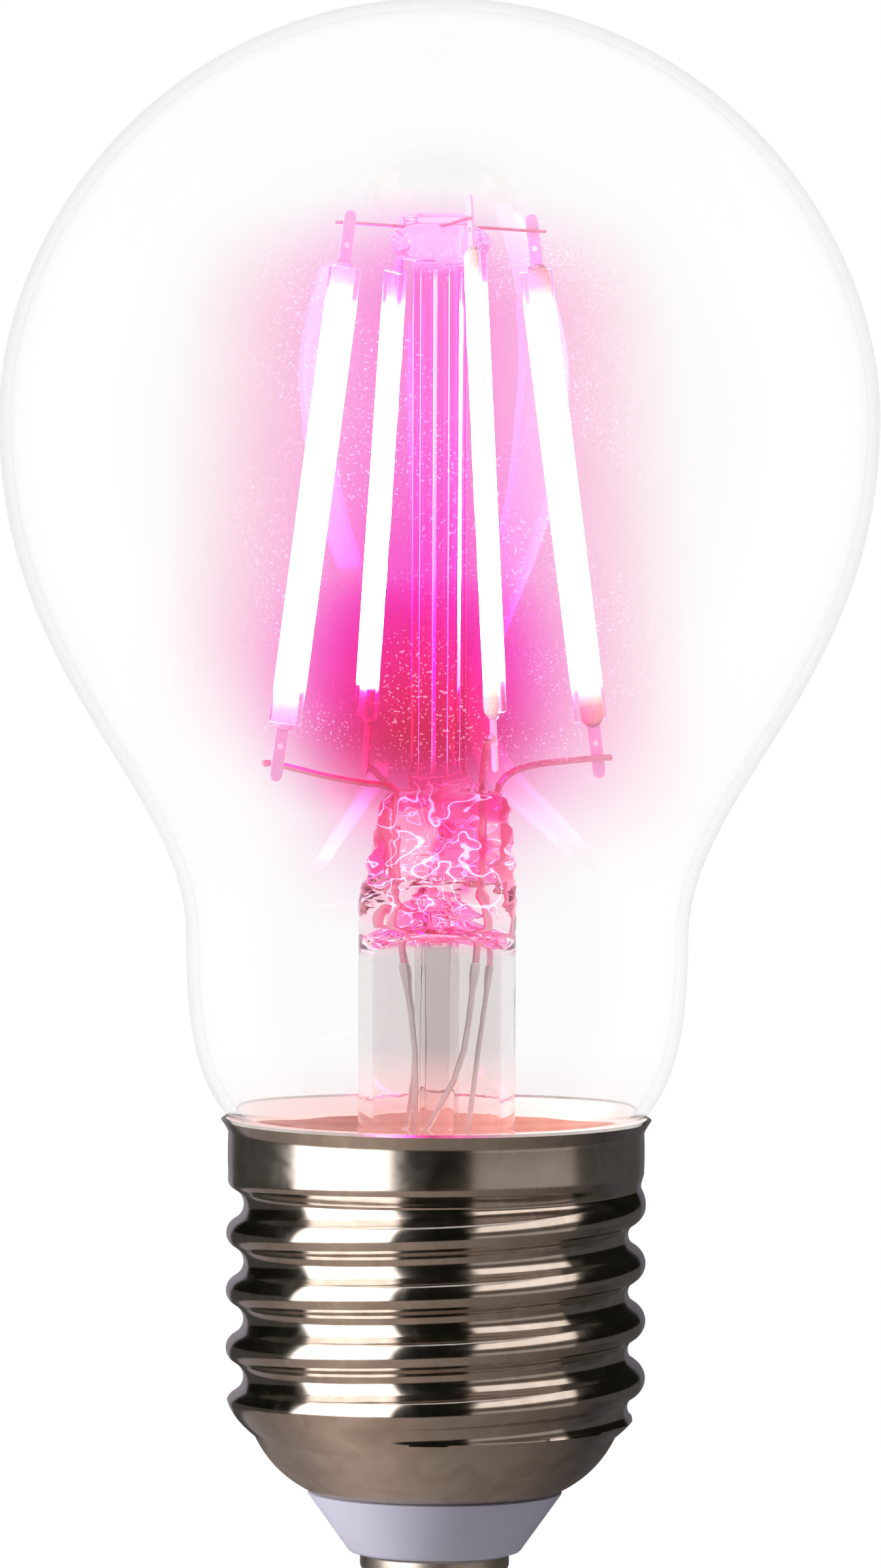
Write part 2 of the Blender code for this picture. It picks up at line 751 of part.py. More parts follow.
def weld_point(number, side, radius):
    """Where a wire of this radius lies on the upper (1) or lower (-1) tab of a filament."""
    frame, length = filament_frame(number)
    depth = tab_depth() - TAB_THICKNESS / 2 - radius - SEAT_GAP
    distance = FILAMENTS[number][2 if side > 0 else 3]
    return frame @ Vector((0.0, depth, side * (length / 2 + distance)))


def build_tab(name, frame, length, side):
    """A flat strip of metal with a rounded end and one small hole, lying on the carrier."""
    data = bpy.data.curves.new(name, "CURVE")
    data.dimensions = "2D"
    data.fill_mode = "BOTH"
    data.extrude = TAB_THICKNESS / 2
    half = TAB_WIDTH / 2
    inner = -TAB_OVERLAP
    outline = [(-half, inner), (half, inner)]
    for step in range(5):
        turn = math.radians(180 * step / 4)
        outline.append((half * math.cos(turn), TAB_LENGTH - half + half * math.sin(turn)))
    hole = []
    for step in range(8):
        turn = math.tau * step / 8
        x, y = TAB_HOLE_RADIUS * math.cos(turn), TAB_HOLE_RADIUS * math.sin(turn)
        hole.append((x, TAB_HOLE_DISTANCE + y))
    for loop in (outline, hole):
        spline = data.splines.new("POLY")
        spline.points.add(len(loop) - 1)
        spline.use_cyclic_u = True
        for target, (x, y) in zip(spline.points, loop):
            target.co = (x, y, 0.0, 1.0)
    tab = add_object(name, data, plated_steel)
    upright = Matrix.Rotation(math.radians(90 * side), 4, "X")
    tab.matrix_world = (
        frame @ Matrix.Translation((0.0, tab_depth(), side * length / 2)) @ upright
    )
    baked(tab).data.materials.append(plated_steel)


def build_gel(name, frame, length):
    """The phosphor coat: a rounded bar on the carrier, tapered to nothing at both ends."""
    half_length = length / 2 + GEL_OVERHANG
    base = -(STRIP_THICKNESS / 2 + SEAT_GAP)
    work = bmesh.new()
    rows = []
    for share, scale in ((-1.0, 0.45), (-0.985, 0.85), (-0.96, 1.0), (0.96, 1.0), (0.985, 0.85), (1.0, 0.45)):
        row = []
        for step in range(9):
            turn = math.radians(180 * step / 8)
            x = GEL_WIDTH / 2 * scale * math.cos(turn)
            y = base - GEL_THICKNESS * scale * math.sin(turn)
            row.append(work.verts.new((x, y, share * half_length)))
        rows.append(row)
    count = len(rows[0])
    for lower, upper in zip(rows, rows[1:]):
        for i in range(count):
            j = (i + 1) % count
            work.faces.new((lower[i], upper[i], upper[j], lower[j]))
    work.faces.new(rows[0])
    work.faces.new(list(reversed(rows[-1])))
    bmesh.ops.recalc_face_normals(work, faces=work.faces)
    mesh = bpy.data.meshes.new(name)
    work.to_mesh(mesh)
    work.free()
    gel = add_object(name, mesh, pink_phosphor)
    gel.matrix_world = frame
    for side in (-1, 1):
        slot = (
            TAB_WIDTH + 2 * SEAT_GAP,
            2 * (TAB_THICKNESS + 2 * SEAT_GAP),
            2 * (TAB_OVERLAP + SEAT_GAP),
        )
        place = frame @ Matrix.Translation((0.0, base, side * length / 2))
        cut(gel, block(f"{name}_slot_{side}", slot, place, None, cutters))
    smooth(baked(gel), 40.0).data.materials.append(pink_phosphor)


def build_filament(number):
    """Carrier, coat and the two metal ends of one filament."""
    frame, length = filament_frame(number)
    label = number + 1
    size = (STRIP_WIDTH, STRIP_THICKNESS, length)
    block(f"filament_strip_{label}", size, frame, strip_ceramic, bevel=0.00006)
    build_gel(f"filament_gel_{label}", frame, length)
    build_tab(f"filament_tab_top_{label}", frame, length, 1)
    build_tab(f"filament_tab_bottom_{label}", frame, length, -1)


# Wires

def support_route(pair):
    """From beyond one filament's tab, through the head, to beyond the other's."""
    arms = []
    for number in pair:
        weld = weld_point(number, 1, SUPPORT_RADIUS)
        level = Vector((weld.x, weld.y, 0.0))
        outward = at(FILAMENTS[number][0], 1.0, 0.0)
        sideways = level - outward * level.dot(outward)
        entry = sideways + outward * HEAD_RADIUS * 1.15
        entry.z = support_height + 0.3 * (weld.z - support_height)
        near = sideways + outward * HEAD_RADIUS * 0.55
        near.z = support_height
        arms.append((weld + outward * WIRE_OVERHANG, weld, entry, near))
    first, second = arms
    return curve_through([*first, *reversed(second)], 2)


# How the inner leads run from the weld to the pinch: share of the way, share of the drop
LEAD_SHAPES = (
    ((0.40, 0.45), (0.72, 0.72), (0.94, 0.88)),
    ((0.40, 0.35), (0.75, 0.80), (0.96, 0.92)),
    ((0.30, 0.18), (0.62, 0.48), (0.93, 0.86)),
    ((0.40, 0.10), (0.68, 0.22), (0.90, 0.55)),
)

# Where the leads pass the pinch, as shares of its half width and half thickness
LEAD_SEATS = ((-0.55, -0.40), (-0.62, 0.40), (0.60, -0.42), (0.80, 0.34))

# Route of each lead below the pinch: direction in degrees, share of the room round the exhaust tube
LEAD_DROPS = (
    ((203.0, 0.26), (222.0, 0.04), (223.0, 0.03)),
    ((150.0, 0.30), (136.0, 0.10), (140.0, 0.40)),
    ((337.0, 0.42), (320.0, 0.22), (248.0, 0.20)),
    ((368.0, 0.84), (352.0, 0.44), (330.0, 0.22)),
)

# Holes of the board that take the leads, as shares of its half width
LEAD_HOLES = (-0.56, -0.80, -0.32, 0.56)


def lead_top(number):
    """Where an inner lead enters the top of the pinch."""
    across, through = LEAD_SEATS[number]
    return Vector((across * PINCH_HALF_WIDTH, through * PINCH_HALF_THICKNESS, pinch_top))


def drop_points(number):
    """Route in the room between the exhaust tube and the foot's wall, from the knot down."""
    low = EXHAUST_RADIUS + LEAD_RADIUS + 2 * WIRE_GAP
    high = tube_inner - LEAD_RADIUS - 2 * WIRE_GAP
    start = knot_height(number)
    end = seal_bottom + 0.7 * FLARE_HEIGHT
    polar = []
    for step, (angle, share) in enumerate(LEAD_DROPS[number]):
        height = start + (end - start) * step / (len(LEAD_DROPS[number]) - 1)
        polar.append((angle, low + (high - low) * share, height))
    return [at(*point) for point in curve_through(polar, 3)]


def knot_height(number):
    """Height of a lead's weld knot, which differs a little from wire to wire."""
    return pinch_bottom - KNOT_DROP - KNOT_STAGGER * (number % 2)


def inner_route(number):
    """From beyond the filament's lower tab, into the pinch and down to the weld knot."""
    weld = weld_point(number, -1, LEAD_RADIUS)
    top = lead_top(number)
    outward = at(FILAMENTS[number][0], 1.0, 0.0)
    points = [weld + outward * WIRE_OVERHANG, weld]
    for share, drop in LEAD_SHAPES[number]:
        point = weld.lerp(top, share)
        point.z = weld.z + (top.z - weld.z) * drop
        points.append(point)
    straight = top - Vector((0.0, 0.0, 0.6 * PINCH_HEIGHT))
    points += [top - Vector((0.0, 0.0, 0.08 * PINCH_HEIGHT)), straight]
    points.append(drop_points(number)[0])
    return curve_through(points, 2)


def outer_route(number):
    """From the weld knot down past the exhaust tube and into the board."""
    drop = drop_points(number)
    knot_end = drop[0].lerp(drop[1], 0.4)
    hole = board_point(LEAD_HOLES[number], lead_row)
    turn_in = hole + Vector((0.0, *LEAD_TURN))
    tail = [
        drop[-1],
        drop[-1].lerp(turn_in, 0.5),
        turn_in,
        hole + Vector((0.0, *LEAD_ENTRY)),
        hole + Vector((0.0, BOARD_THICKNESS + TAIL_OVERHANG, 0.0)),
    ]
    drop[0].z -= SEAT_GAP
    return [drop[0], knot_end, *drop[1:-1], *curve_through(tail, 2)]


def build_wires():
    """All wires in the glass, and the wider copies that make their holes."""
    support_tools = []
    for side, pair in SUPPORT_PAIRS.items():
        route = support_route(pair)
        wire(f"support_wire_{side}", route, SUPPORT_RADIUS, nickel_wire)
        hole = wire(f"support_hole_{side}", route, SUPPORT_RADIUS + WIRE_GAP, None, cutters)
        support_tools.append(baked(hole))
    lead_tools = []
    for number in range(len(FILAMENTS)):
        label = number + 1
        route = inner_route(number)
        wire(f"lead_inner_{label}", route, LEAD_RADIUS, nickel_wire)
        hole = wire(f"lead_hole_{label}", route, LEAD_RADIUS + WIRE_GAP, None, cutters)
        lead_tools.append(baked(hole))
        route = outer_route(number)
        wire(f"lead_outer_{label}", route, OUTER_LEAD_RADIUS, copper_wire, swell=(0, 1))
    return support_tools, lead_tools


# Circuit board

def board_point(across, height):
    """A point on the front face of the board."""
    return Vector((across * BOARD_WIDTH / 2, BOARD_OFFSET, height))


def drill(board, name, point, radius):
    """One hole through the board."""
    reach = Vector((0.0, 2 * BOARD_THICKNESS, 0.0))
    cut(board, rod(name, radius + WIRE_GAP, point - reach, point + reach, 10))


def build_chip(name, across, legs):
    """A moulded body on the front of the board, with flat legs at both sides."""
    width, height, thickness = CHIP_BODY
    face = BOARD_OFFSET - SEAT_GAP
    middle = board_bottom + 0.50 * BOARD_HEIGHT
    centre = Vector((across * BOARD_WIDTH / 2, face - 0.0002 - thickness / 2, middle))
    body = block(name, (width, thickness, height), centre, black_moulding, bevel=0.00015)
    for side in (-1, 1):
        for leg in range(legs):
            along = (leg + 0.5) / legs - 0.5
            size = (CHIP_LEG, 0.5 * thickness, 0.0012)
            place = centre + Vector((along * 0.8 * width, 0.0, side * (height / 2 + 0.0002)))
            place.y = face - size[1] / 2
            label = f"{name}_leg_{side}_{leg}"
            cut(body, block(label, size, place, None, cutters), "UNION")
    baked(body).data.materials.append(black_moulding)


def build_board():
    """The board with its parts, and the wires that leave it for the contact and the shell."""
    size = (BOARD_WIDTH, BOARD_THICKNESS, BOARD_HEIGHT)
    middle = (0.0, BOARD_OFFSET + BOARD_THICKNESS / 2, board_bottom + BOARD_HEIGHT / 2)
    board = block("driver_board", size, middle, board_laminate)
    for number, across in enumerate(LEAD_HOLES):
        drill(board, f"board_hole_{number}", board_point(across, lead_row), OUTER_LEAD_RADIUS)
    entry = board_point(0.0, resistor_entry)
    earth = board_point(-0.86, board_bottom + SHELL_HOLE_RISE)
    drill(board, "board_hole_resistor", entry, OUTER_LEAD_RADIUS)
    drill(board, "board_hole_shell", earth, OUTER_LEAD_RADIUS)
    baked(board).data.materials.append(board_laminate)

    build_chip("bridge_rectifier", -0.60, 2)
    build_chip("driver_chip", 0.60, 4)

    length = CAPACITOR_LENGTH
    can = turned(
        "bulk_capacitor",
        [
            (0.0, length / 2),
            (0.86 * CAPACITOR_RADIUS, length / 2),
            (CAPACITOR_RADIUS, length / 2 - 0.0004),
            (CAPACITOR_RADIUS, 0.0011 - length / 2),
            (0.92 * CAPACITOR_RADIUS, 0.0008 - length / 2),
            (CAPACITOR_RADIUS, 0.0005 - length / 2),
            (0.9 * CAPACITOR_RADIUS, -length / 2),
            (0.0, -length / 2),
        ],
        black_moulding,
    )
    back = BOARD_OFFSET + BOARD_THICKNESS + SEAT_GAP * 2 + CAPACITOR_RADIUS
    place = Vector((0.0, back, can_height))
    can.matrix_world = Matrix.Translation(place) @ Matrix.Rotation(math.radians(90), 4, "Y")

    low = resistor_low
    turned(
        "fusible_resistor",
        [
            (0.0, resistor_top),
            (0.5 * RESISTOR_RADIUS, resistor_top),
            (RESISTOR_RADIUS, resistor_top - 0.0005),
            (RESISTOR_RADIUS, resistor_top - RESISTOR_BEAD),
            (0.84 * RESISTOR_RADIUS, resistor_top - 0.0018),
            (0.84 * RESISTOR_RADIUS, low + 0.0018),
            (RESISTOR_RADIUS, low + RESISTOR_BEAD),
            (RESISTOR_RADIUS, low + 0.0005),
            (0.5 * RESISTOR_RADIUS, low),
            (0.0, low),
        ],
        resistor_enamel,
        steps=14,
    )
    up = [
        (0.0, 0.0, resistor_top + SEAT_GAP),
        (0.0, 0.0, resistor_top + 0.0007),
        (0.0, 0.3 * BOARD_OFFSET, resistor_top + 0.0013),
        entry,
        entry + Vector((0.0, BOARD_THICKNESS + TAIL_OVERHANG, 0.0)),
    ]
    wire("resistor_lead", curve_through(up, 2), OUTER_LEAD_RADIUS, nickel_wire)
    down = [(0.0, 0.0, low - SEAT_GAP), (0.0, 0.0, insulator_bottom + 0.0002)]
    wire("contact_lead", down, OUTER_LEAD_RADIUS, nickel_wire)
    reach = at(196.0, root_inner - 2 * CAP_GAP - OUTER_LEAD_RADIUS, earth.z + SHELL_LEAD_RISE)
    out = [
        earth + Vector((0.0, BOARD_THICKNESS + TAIL_OVERHANG, 0.0)),
        earth,
        earth + Vector((-0.0004, -0.0009, 0.0001)),
        reach + Vector((0.0004, 0.0004, -0.0016)),
        reach,
    ]
    wire("shell_lead", curve_through(out, 2), OUTER_LEAD_RADIUS, nickel_wire)


build_shell()
build_insulator()
build_contact()
build_cement()
build_envelope()
support_holes, lead_holes = build_wires()
build_foot(lead_holes)
build_exhaust_tube()
build_column(support_holes)
for filament in range(len(FILAMENTS)):
    build_filament(filament)
build_board()
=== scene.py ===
import json
import math

import bmesh
import bpy
from mathutils import Matrix, Vector, noise

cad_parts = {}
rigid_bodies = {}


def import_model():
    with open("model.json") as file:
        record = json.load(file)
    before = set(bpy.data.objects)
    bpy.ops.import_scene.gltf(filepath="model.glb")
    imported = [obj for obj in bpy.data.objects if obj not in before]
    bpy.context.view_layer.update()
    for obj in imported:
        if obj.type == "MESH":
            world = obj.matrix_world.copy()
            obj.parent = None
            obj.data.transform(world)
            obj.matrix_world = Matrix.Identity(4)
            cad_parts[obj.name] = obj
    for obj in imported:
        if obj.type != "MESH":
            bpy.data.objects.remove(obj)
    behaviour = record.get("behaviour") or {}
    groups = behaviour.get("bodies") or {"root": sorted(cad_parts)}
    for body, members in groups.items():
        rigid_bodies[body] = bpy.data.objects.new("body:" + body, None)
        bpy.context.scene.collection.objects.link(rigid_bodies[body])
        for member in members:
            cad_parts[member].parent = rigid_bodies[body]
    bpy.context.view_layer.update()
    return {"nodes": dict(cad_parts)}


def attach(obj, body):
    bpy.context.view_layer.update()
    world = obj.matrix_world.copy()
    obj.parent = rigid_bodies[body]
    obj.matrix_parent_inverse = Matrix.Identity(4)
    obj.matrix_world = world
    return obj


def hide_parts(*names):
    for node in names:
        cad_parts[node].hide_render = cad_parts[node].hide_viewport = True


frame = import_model()
nodes = frame["nodes"]
scene = bpy.context.scene
mm = 0.001
print("frame loaded,", len(nodes), "nodes")


def addObject(name, data):
    item = bpy.data.objects.new(name, data)
    scene.collection.objects.link(item)
    return item


# Camera: level with the head of the stem, looking slightly down at the middle of the bulb
cameraSettings = {
    "place": (0.0, -0.62, 0.0824),
    "target": (0.00016, 0.0, 0.0496),
    "roll": 0.26,  # degrees, the photograph leans this much
    "lens": 227.2, "sensor": 36, "nearest": 0.01, "furthest": 20,
}


def makeCamera(s):
    data = bpy.data.cameras.new("camera")
    data.lens = s["lens"]
    data.sensor_width = s["sensor"]
    data.clip_start, data.clip_end = s["nearest"], s["furthest"]
    camera = addObject("camera", data)
    place, target = Vector(s["place"]), Vector(s["target"])
    turn = (target - place).to_track_quat("-Z", "Y").to_matrix().to_4x4()
    roll = Matrix.Rotation(math.radians(s["roll"]), 4, "Z")
    camera.matrix_world = Matrix.Translation(place) @ turn @ roll
    scene.camera = camera


makeCamera(cameraSettings)


# Mesh helpers
def smoothStep(value):
    value = min(1.0, max(0.0, value))
    return value * value * (3 - 2 * value)


def around(angle, radius, height):
    turn = math.radians(angle)
    return Vector((radius * math.cos(turn), radius * math.sin(turn), height))


def bezier(start, first, second, end, count):
    points = []
    for step in range(count):
        t = step / count
        weights = ((1 - t) ** 3, 3 * t * (1 - t) ** 2, 3 * t * t * (1 - t), t**3)
        corners = (start, first, second, end)
        points.append([sum(w * c[k] for w, c in zip(weights, corners)) for k in (0, 1)])
    return points


def throughPoints(points, between):
    # a smooth line through the given points
    points = [Vector(p) for p in points]
    line = [2 * points[0] - points[1], *points, 2 * points[-1] - points[-2]]
    found = []
    for i in range(1, len(line) - 2):
        a, b, c, d = line[i - 1 : i + 3]
        for step in range(between):
            t = step / between
            found.append(0.5 * (2 * b + (c - a) * t + (2 * a - 5 * b + 4 * c - d) * t * t
                                + (3 * b - a - 3 * c + d) * t**3))
    return [*found, points[-1]]


def skinRows(work, rows, ring=False):
    # joins rows of vertices, each closed on itself; a row may be a single vertex
    pairs = list(zip(rows, rows[1:]))
    if ring:
        pairs.append((rows[-1], rows[0]))
    for upper, lower in pairs:
        count = max(len(upper), len(lower))
        if count == 1:
            continue
        for i in range(count):
            j = (i + 1) % count
            if len(upper) == 1:
                work.faces.new((upper[0], lower[i], lower[j]))
            elif len(lower) == 1:
                work.faces.new((upper[j], upper[i], lower[0]))
            else:
                work.faces.new((upper[j], upper[i], lower[i], lower[j]))


def meshFrom(work, name, outwards=True):
    if outwards:
        bmesh.ops.recalc_face_normals(work, faces=work.faces)
    mesh = bpy.data.meshes.new(name)
    work.to_mesh(mesh)
    work.free()
    return mesh


def lathe(name, outline, steps, ring=False):
    # outline is (radius, height) from the top down the outer side
    work = bmesh.new()
    rows = []
    for radius, height in outline:
        turns = [math.tau * i / steps for i in range(steps)] if radius > 1e-7 else [0.0]
        rows.append([work.verts.new((radius * math.cos(t), radius * math.sin(t), height))
                     for t in turns])
    skinRows(work, rows, ring)
    return meshFrom(work, name)


def sweep(name, route, radiusAt, sides):
    # a round body along the route, whose radius may change on the way
    work = bmesh.new()
    rows = []
    side = Vector((0, 0, 1)).cross(route[1] - route[0])
    if side.length < 1e-9:
        side = Vector((1, 0, 0))
    for i, point in enumerate(route):
        along = (route[min(i + 1, len(route) - 1)] - route[max(i - 1, 0)]).normalized()
        side = (side - along * side.dot(along)).normalized()
        other = along.cross(side)
        radius = radiusAt(i / (len(route) - 1))
        turns = [math.tau * k / sides for k in range(sides)]
        rows.append([work.verts.new(point + radius * (side * math.cos(t) + other * math.sin(t)))
                     for t in turns])
    first = route[0] + (route[0] - route[1]).normalized() * radiusAt(0) * 0.5
    last = route[-1] + (route[-1] - route[-2]).normalized() * radiusAt(1) * 0.5
    skinRows(work, [[work.verts.new(first)], *rows, [work.verts.new(last)]])
    return meshFrom(work, name)


def dress(mesh, material, sharpAngle):
    mesh.materials.clear()
    mesh.materials.append(material)
    mesh.shade_smooth()
    mesh.set_sharp_from_angle(angle=math.radians(sharpAngle))


def addPiece(name, mesh, material, replaced=(), sharpAngle=40, place=None):
    piece = addObject(name, mesh)
    dress(mesh, material, sharpAngle)
    if place:
        piece.matrix_world = place
    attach(piece, "root")
    if replaced:
        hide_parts(*replaced)


# Node helpers. A value is a number, a colour or the output of another node.
def feed(tree, socket, value):
    if isinstance(value, bpy.types.NodeSocket):
        tree.links.new(value, socket)
    else:
        socket.default_value = (*value, 1) if socket.type == "RGBA" else value


def feedAll(tree, made, **inputs):
    for label, value in inputs.items():
        feed(tree, made.inputs[label.replace("_", " ")], value)


def newNode(tree, kind, *values, operation=None, **inputs):
    # values go to the sockets in their order, inputs to those of that name
    made = tree.nodes.new("ShaderNode" + kind)
    if operation:
        made.operation = operation
    for socket, value in zip(made.inputs, values):
        feed(tree, socket, value)
    feedAll(tree, made, **inputs)
    return made


def placeIn(tree):
    # the place on the object, whole and as across, deep and height
    where = newNode(tree, "TexCoord").outputs["Object"]
    return where, *newNode(tree, "SeparateXYZ", where).outputs


def noiseNode(tree, where, **inputs):
    return newNode(tree, "TexNoise", Vector=where, **inputs).outputs["Fac"]


def mathNode(tree, operation, *values):
    return newNode(tree, "Math", *values, operation=operation).outputs[0]


def productNode(tree, *factors):
    total = factors[0]
    for factor in factors[1:]:
        total = mathNode(tree, "MULTIPLY", total, factor)
    return total


def rangeNode(tree, value, **inputs):
    return newNode(tree, "MapRange", value, **inputs).outputs["Result"]


def fadeNode(tree, value, ends):
    # goes smoothly from 0 at the first of the ends to 1 at the second
    result = rangeNode(tree, value, From_Min=ends[0], From_Max=ends[1])
    result.node.interpolation_type = "SMOOTHSTEP"
    return result


def rampNode(tree, value, stops):
    made = newNode(tree, "ValToRGB", value)
    elements = made.color_ramp.elements
    for element, (position, colour) in zip(elements, (stops[0], stops[-1])):
        element.position, element.color = position, (*colour, 1)
    for position, colour in stops[1:-1]:
        elements.new(position).color = (*colour, 1)
    return made.outputs["Color"]


def byHeight(tree, height, stops):
    # stops are heights in mm with a colour or a grey value
    bottom, top = stops[0][0], stops[-1][0]
    above = mathNode(tree, "SUBTRACT", height, bottom * mm)
    colours = [((at - bottom) / (top - bottom), shade if isinstance(shade, tuple) else (shade,) * 3)
               for at, shade in stops]
    return rampNode(tree, mathNode(tree, "DIVIDE", above, (top - bottom) * mm), colours)


def mixNode(tree, share, first, second, kind="RGBA"):
    made = newNode(tree, "Mix", share)
    made.data_type = kind
    start = {"FLOAT": 2, "RGBA": 6}[kind]
    feed(tree, made.inputs[start], first)
    feed(tree, made.inputs[start + 1], second)
    return made.outputs[start // 3]


def shaderNode(tree, kind, *inputs, target=None):
    # mixes or adds shaders
    result = newNode(tree, kind + "Shader", *inputs).outputs[0]
    if target:
        tree.links.new(result, target)
    return result


def straightRays(tree, path):
    return mathNode(tree, "MAXIMUM", path.outputs["Is Camera Ray"], path.outputs["Is Transmission Ray"])


# Node groups shared by the finishes
def newGroup(name, inputs, outputs):
    group = bpy.data.node_groups.new(name, "ShaderNodeTree")
    for label, value in inputs.items():
        socket = group.interface.new_socket(label, in_out="INPUT", socket_type="NodeSocketFloat")
        socket.default_value = value
    for label in outputs:
        group.interface.new_socket(label, in_out="OUTPUT", socket_type="NodeSocketFloat")
    given = group.nodes.new("NodeGroupInput").outputs
    return group, given, group.nodes.new("NodeGroupOutput").inputs


def makeMottleGroup():
    # cloudy change of tone plus fine pits, both as masks
    scales = {"Scale": 200.0, "Fine Scale": 2500.0}
    group, given, result = newGroup("mottle", scales, ("Clouds", "Pits"))
    where = newNode(group, "TexCoord").outputs["Object"]
    for label, output, detail in (("Scale", "Clouds", 4.0), ("Fine Scale", "Pits", 2.0)):
        group.links.new(noiseNode(group, where, Scale=given[label], Detail=detail), result[output])
    return group


def makeBrushGroup():
    # fine lines that run round the axis, as a lathe or a roller leaves them
    scales = {"Lines": 9000.0, "Along": 60.0}
    group, given, result = newGroup("brush_lines", scales, ("Lines", "Scuffs"))
    where, *places = placeIn(group)
    stretched = [productNode(group, place, given[label])
                 for place, label in zip(places, ("Along", "Along", "Lines"))]
    joined = newNode(group, "CombineXYZ", *stretched).outputs[0]
    group.links.new(noiseNode(group, joined, Scale=1.0, Detail=3.0), result["Lines"])
    scuffs = noiseNode(group, where, Scale=420.0, Detail=6.0, Distortion=1.5)
    group.links.new(scuffs, result["Scuffs"])
    return group


mottle = makeMottleGroup()
brushLines = makeBrushGroup()


class Finish:
    # a material with its Principled shader at hand
    def __init__(self, name, colour, roughness, metallic=0.0, **sockets):
        self.material = bpy.data.materials.new(name)
        self.material.use_nodes = True
        self.tree = self.material.node_tree
        self.shader = self.tree.nodes["Principled BSDF"]
        self.output = self.tree.nodes["Material Output"]
        self.set(Base_Color=colour, Roughness=roughness, Metallic=metallic, **sockets)

    def set(self, **sockets):
        feedAll(self.tree, self.shader, **sockets)

    def group(self, group, **inputs):
        made = newNode(self.tree, "Group")
        made.node_tree = group
        feedAll(self.tree, made, **inputs)
        return made.outputs

    def spread(self, mask, low, high):
        # a mask turned into a range of roughness
        spread = rangeNode(self.tree, mask, From_Min=0.3, From_Max=0.7, To_Min=low, To_Max=high)
        self.set(Roughness=spread)

    def tones(self, mask, dark, light, fromLow=0.3, fromHigh=0.7):
        self.set(Base_Color=rampNode(self.tree, mask, ((fromLow, dark), (fromHigh, light))))

    def bump(self, height, distance):
        dent = newNode(self.tree, "Bump", Distance=distance, Strength=1.0, Height=height)
        self.set(Normal=dent.outputs["Normal"])


def clearGlass(name, waves):
    # glass that lets the lamps through, with a slight waviness from blowing
    f = Finish(name, (1, 1, 1), 0.0, Transmission_Weight=1.0, IOR=waves["ior"])
    masks = f.group(mottle, Scale=waves["scale"], Fine_Scale=waves["scale"] * 6)
    f.bump(masks["Clouds"], waves["depth"])
    path = newNode(f.tree, "LightPath")
    clear = newNode(f.tree, "BsdfTransparent", (0.97, 0.97, 0.97))
    shaderNode(f.tree, "Mix", path.outputs["Is Shadow Ray"], f.shader.outputs[0], clear.outputs[0],
               target=f.output.inputs["Surface"])
    return f


def matteFinish(name, dark, light, roughness, grain, metallic=0.0, **sockets):
    # one cloudy colour with fine pits, for the small parts; grain is scale and depth
    f = Finish(name, light, roughness, metallic, **sockets)
    scale, depth = grain
    masks = f.group(mottle, Scale=scale, Fine_Scale=scale * 8)
    f.tones(masks["Clouds"], dark, light)
    f.spread(masks["Pits"], roughness * 0.85, min(1.0, roughness * 1.2))
    f.bump(masks["Pits"], depth)
    return f.material


# Glass envelope
envelopeSettings = {
    "radius": 27.6 * mm, "height": 98.8 * mm, "widest": 72.5 * mm,
    "neckRadius": 15.77 * mm, "neckHeight": 40.0 * mm,
    "seatRadius": 13.18 * mm, "seatHeight": 28.7 * mm, "seatBend": (1.4 * mm, 1.9 * mm),
    "endRadius": 11.32 * mm, "endHeight": 22.9 * mm,
    # how far each curve follows the line that it starts and ends on
    "domeTopPull": 0.608, "domeSidePull": 0.465, "bodySidePull": 0.514, "bodyNeckPull": 0.289,
    "neckPull": 0.63, "neckFoot": 28.5 * mm,
    "endBends": ((12.7 * mm, 28.25 * mm), (12.2 * mm, 26.8 * mm)),
    "wall": 0.7 * mm, "steps": 144,
}


def envelopeOutline(s):
    top, side = (0.0, s["height"]), (s["radius"], s["widest"])
    neck, seat = (s["neckRadius"], s["neckHeight"]), (s["seatRadius"], s["seatHeight"])
    end = (s["endRadius"], s["endHeight"])
    domeRise, bodyRise, neckRise = top[1] - side[1], side[1] - neck[1], neck[1] - s["neckFoot"]
    outline = bezier(top, (s["domeTopPull"] * side[0], top[1]),
                     (side[0], side[1] + s["domeSidePull"] * domeRise), side, 30)
    outline += bezier(side, (side[0], side[1] - s["bodySidePull"] * bodyRise),
                      (neck[0], neck[1] + s["bodyNeckPull"] * bodyRise), neck, 26)
    outline += bezier(neck, (neck[0], neck[1] - s["neckPull"] * neckRise),
                      (seat[0] + s["seatBend"][0], seat[1] + s["seatBend"][1]), seat, 16)
    outline += bezier(seat, *s["endBends"], end, 10)
    return [*outline, list(end)]


def insetOutline(outline, depth):
    # the same line moved inwards along its own normal
    moved = []
    for i, (radius, height) in enumerate(outline):
        before, after = outline[max(i - 1, 0)], outline[min(i + 1, len(outline) - 1)]
        run, rise = after[0] - before[0], after[1] - before[1]
        length = math.hypot(run, rise)
        if i == 0:
            moved.append((0.0, height - depth))
        else:
            moved.append((max(0.0, radius + rise / length * depth), height - run / length * depth))
    return moved


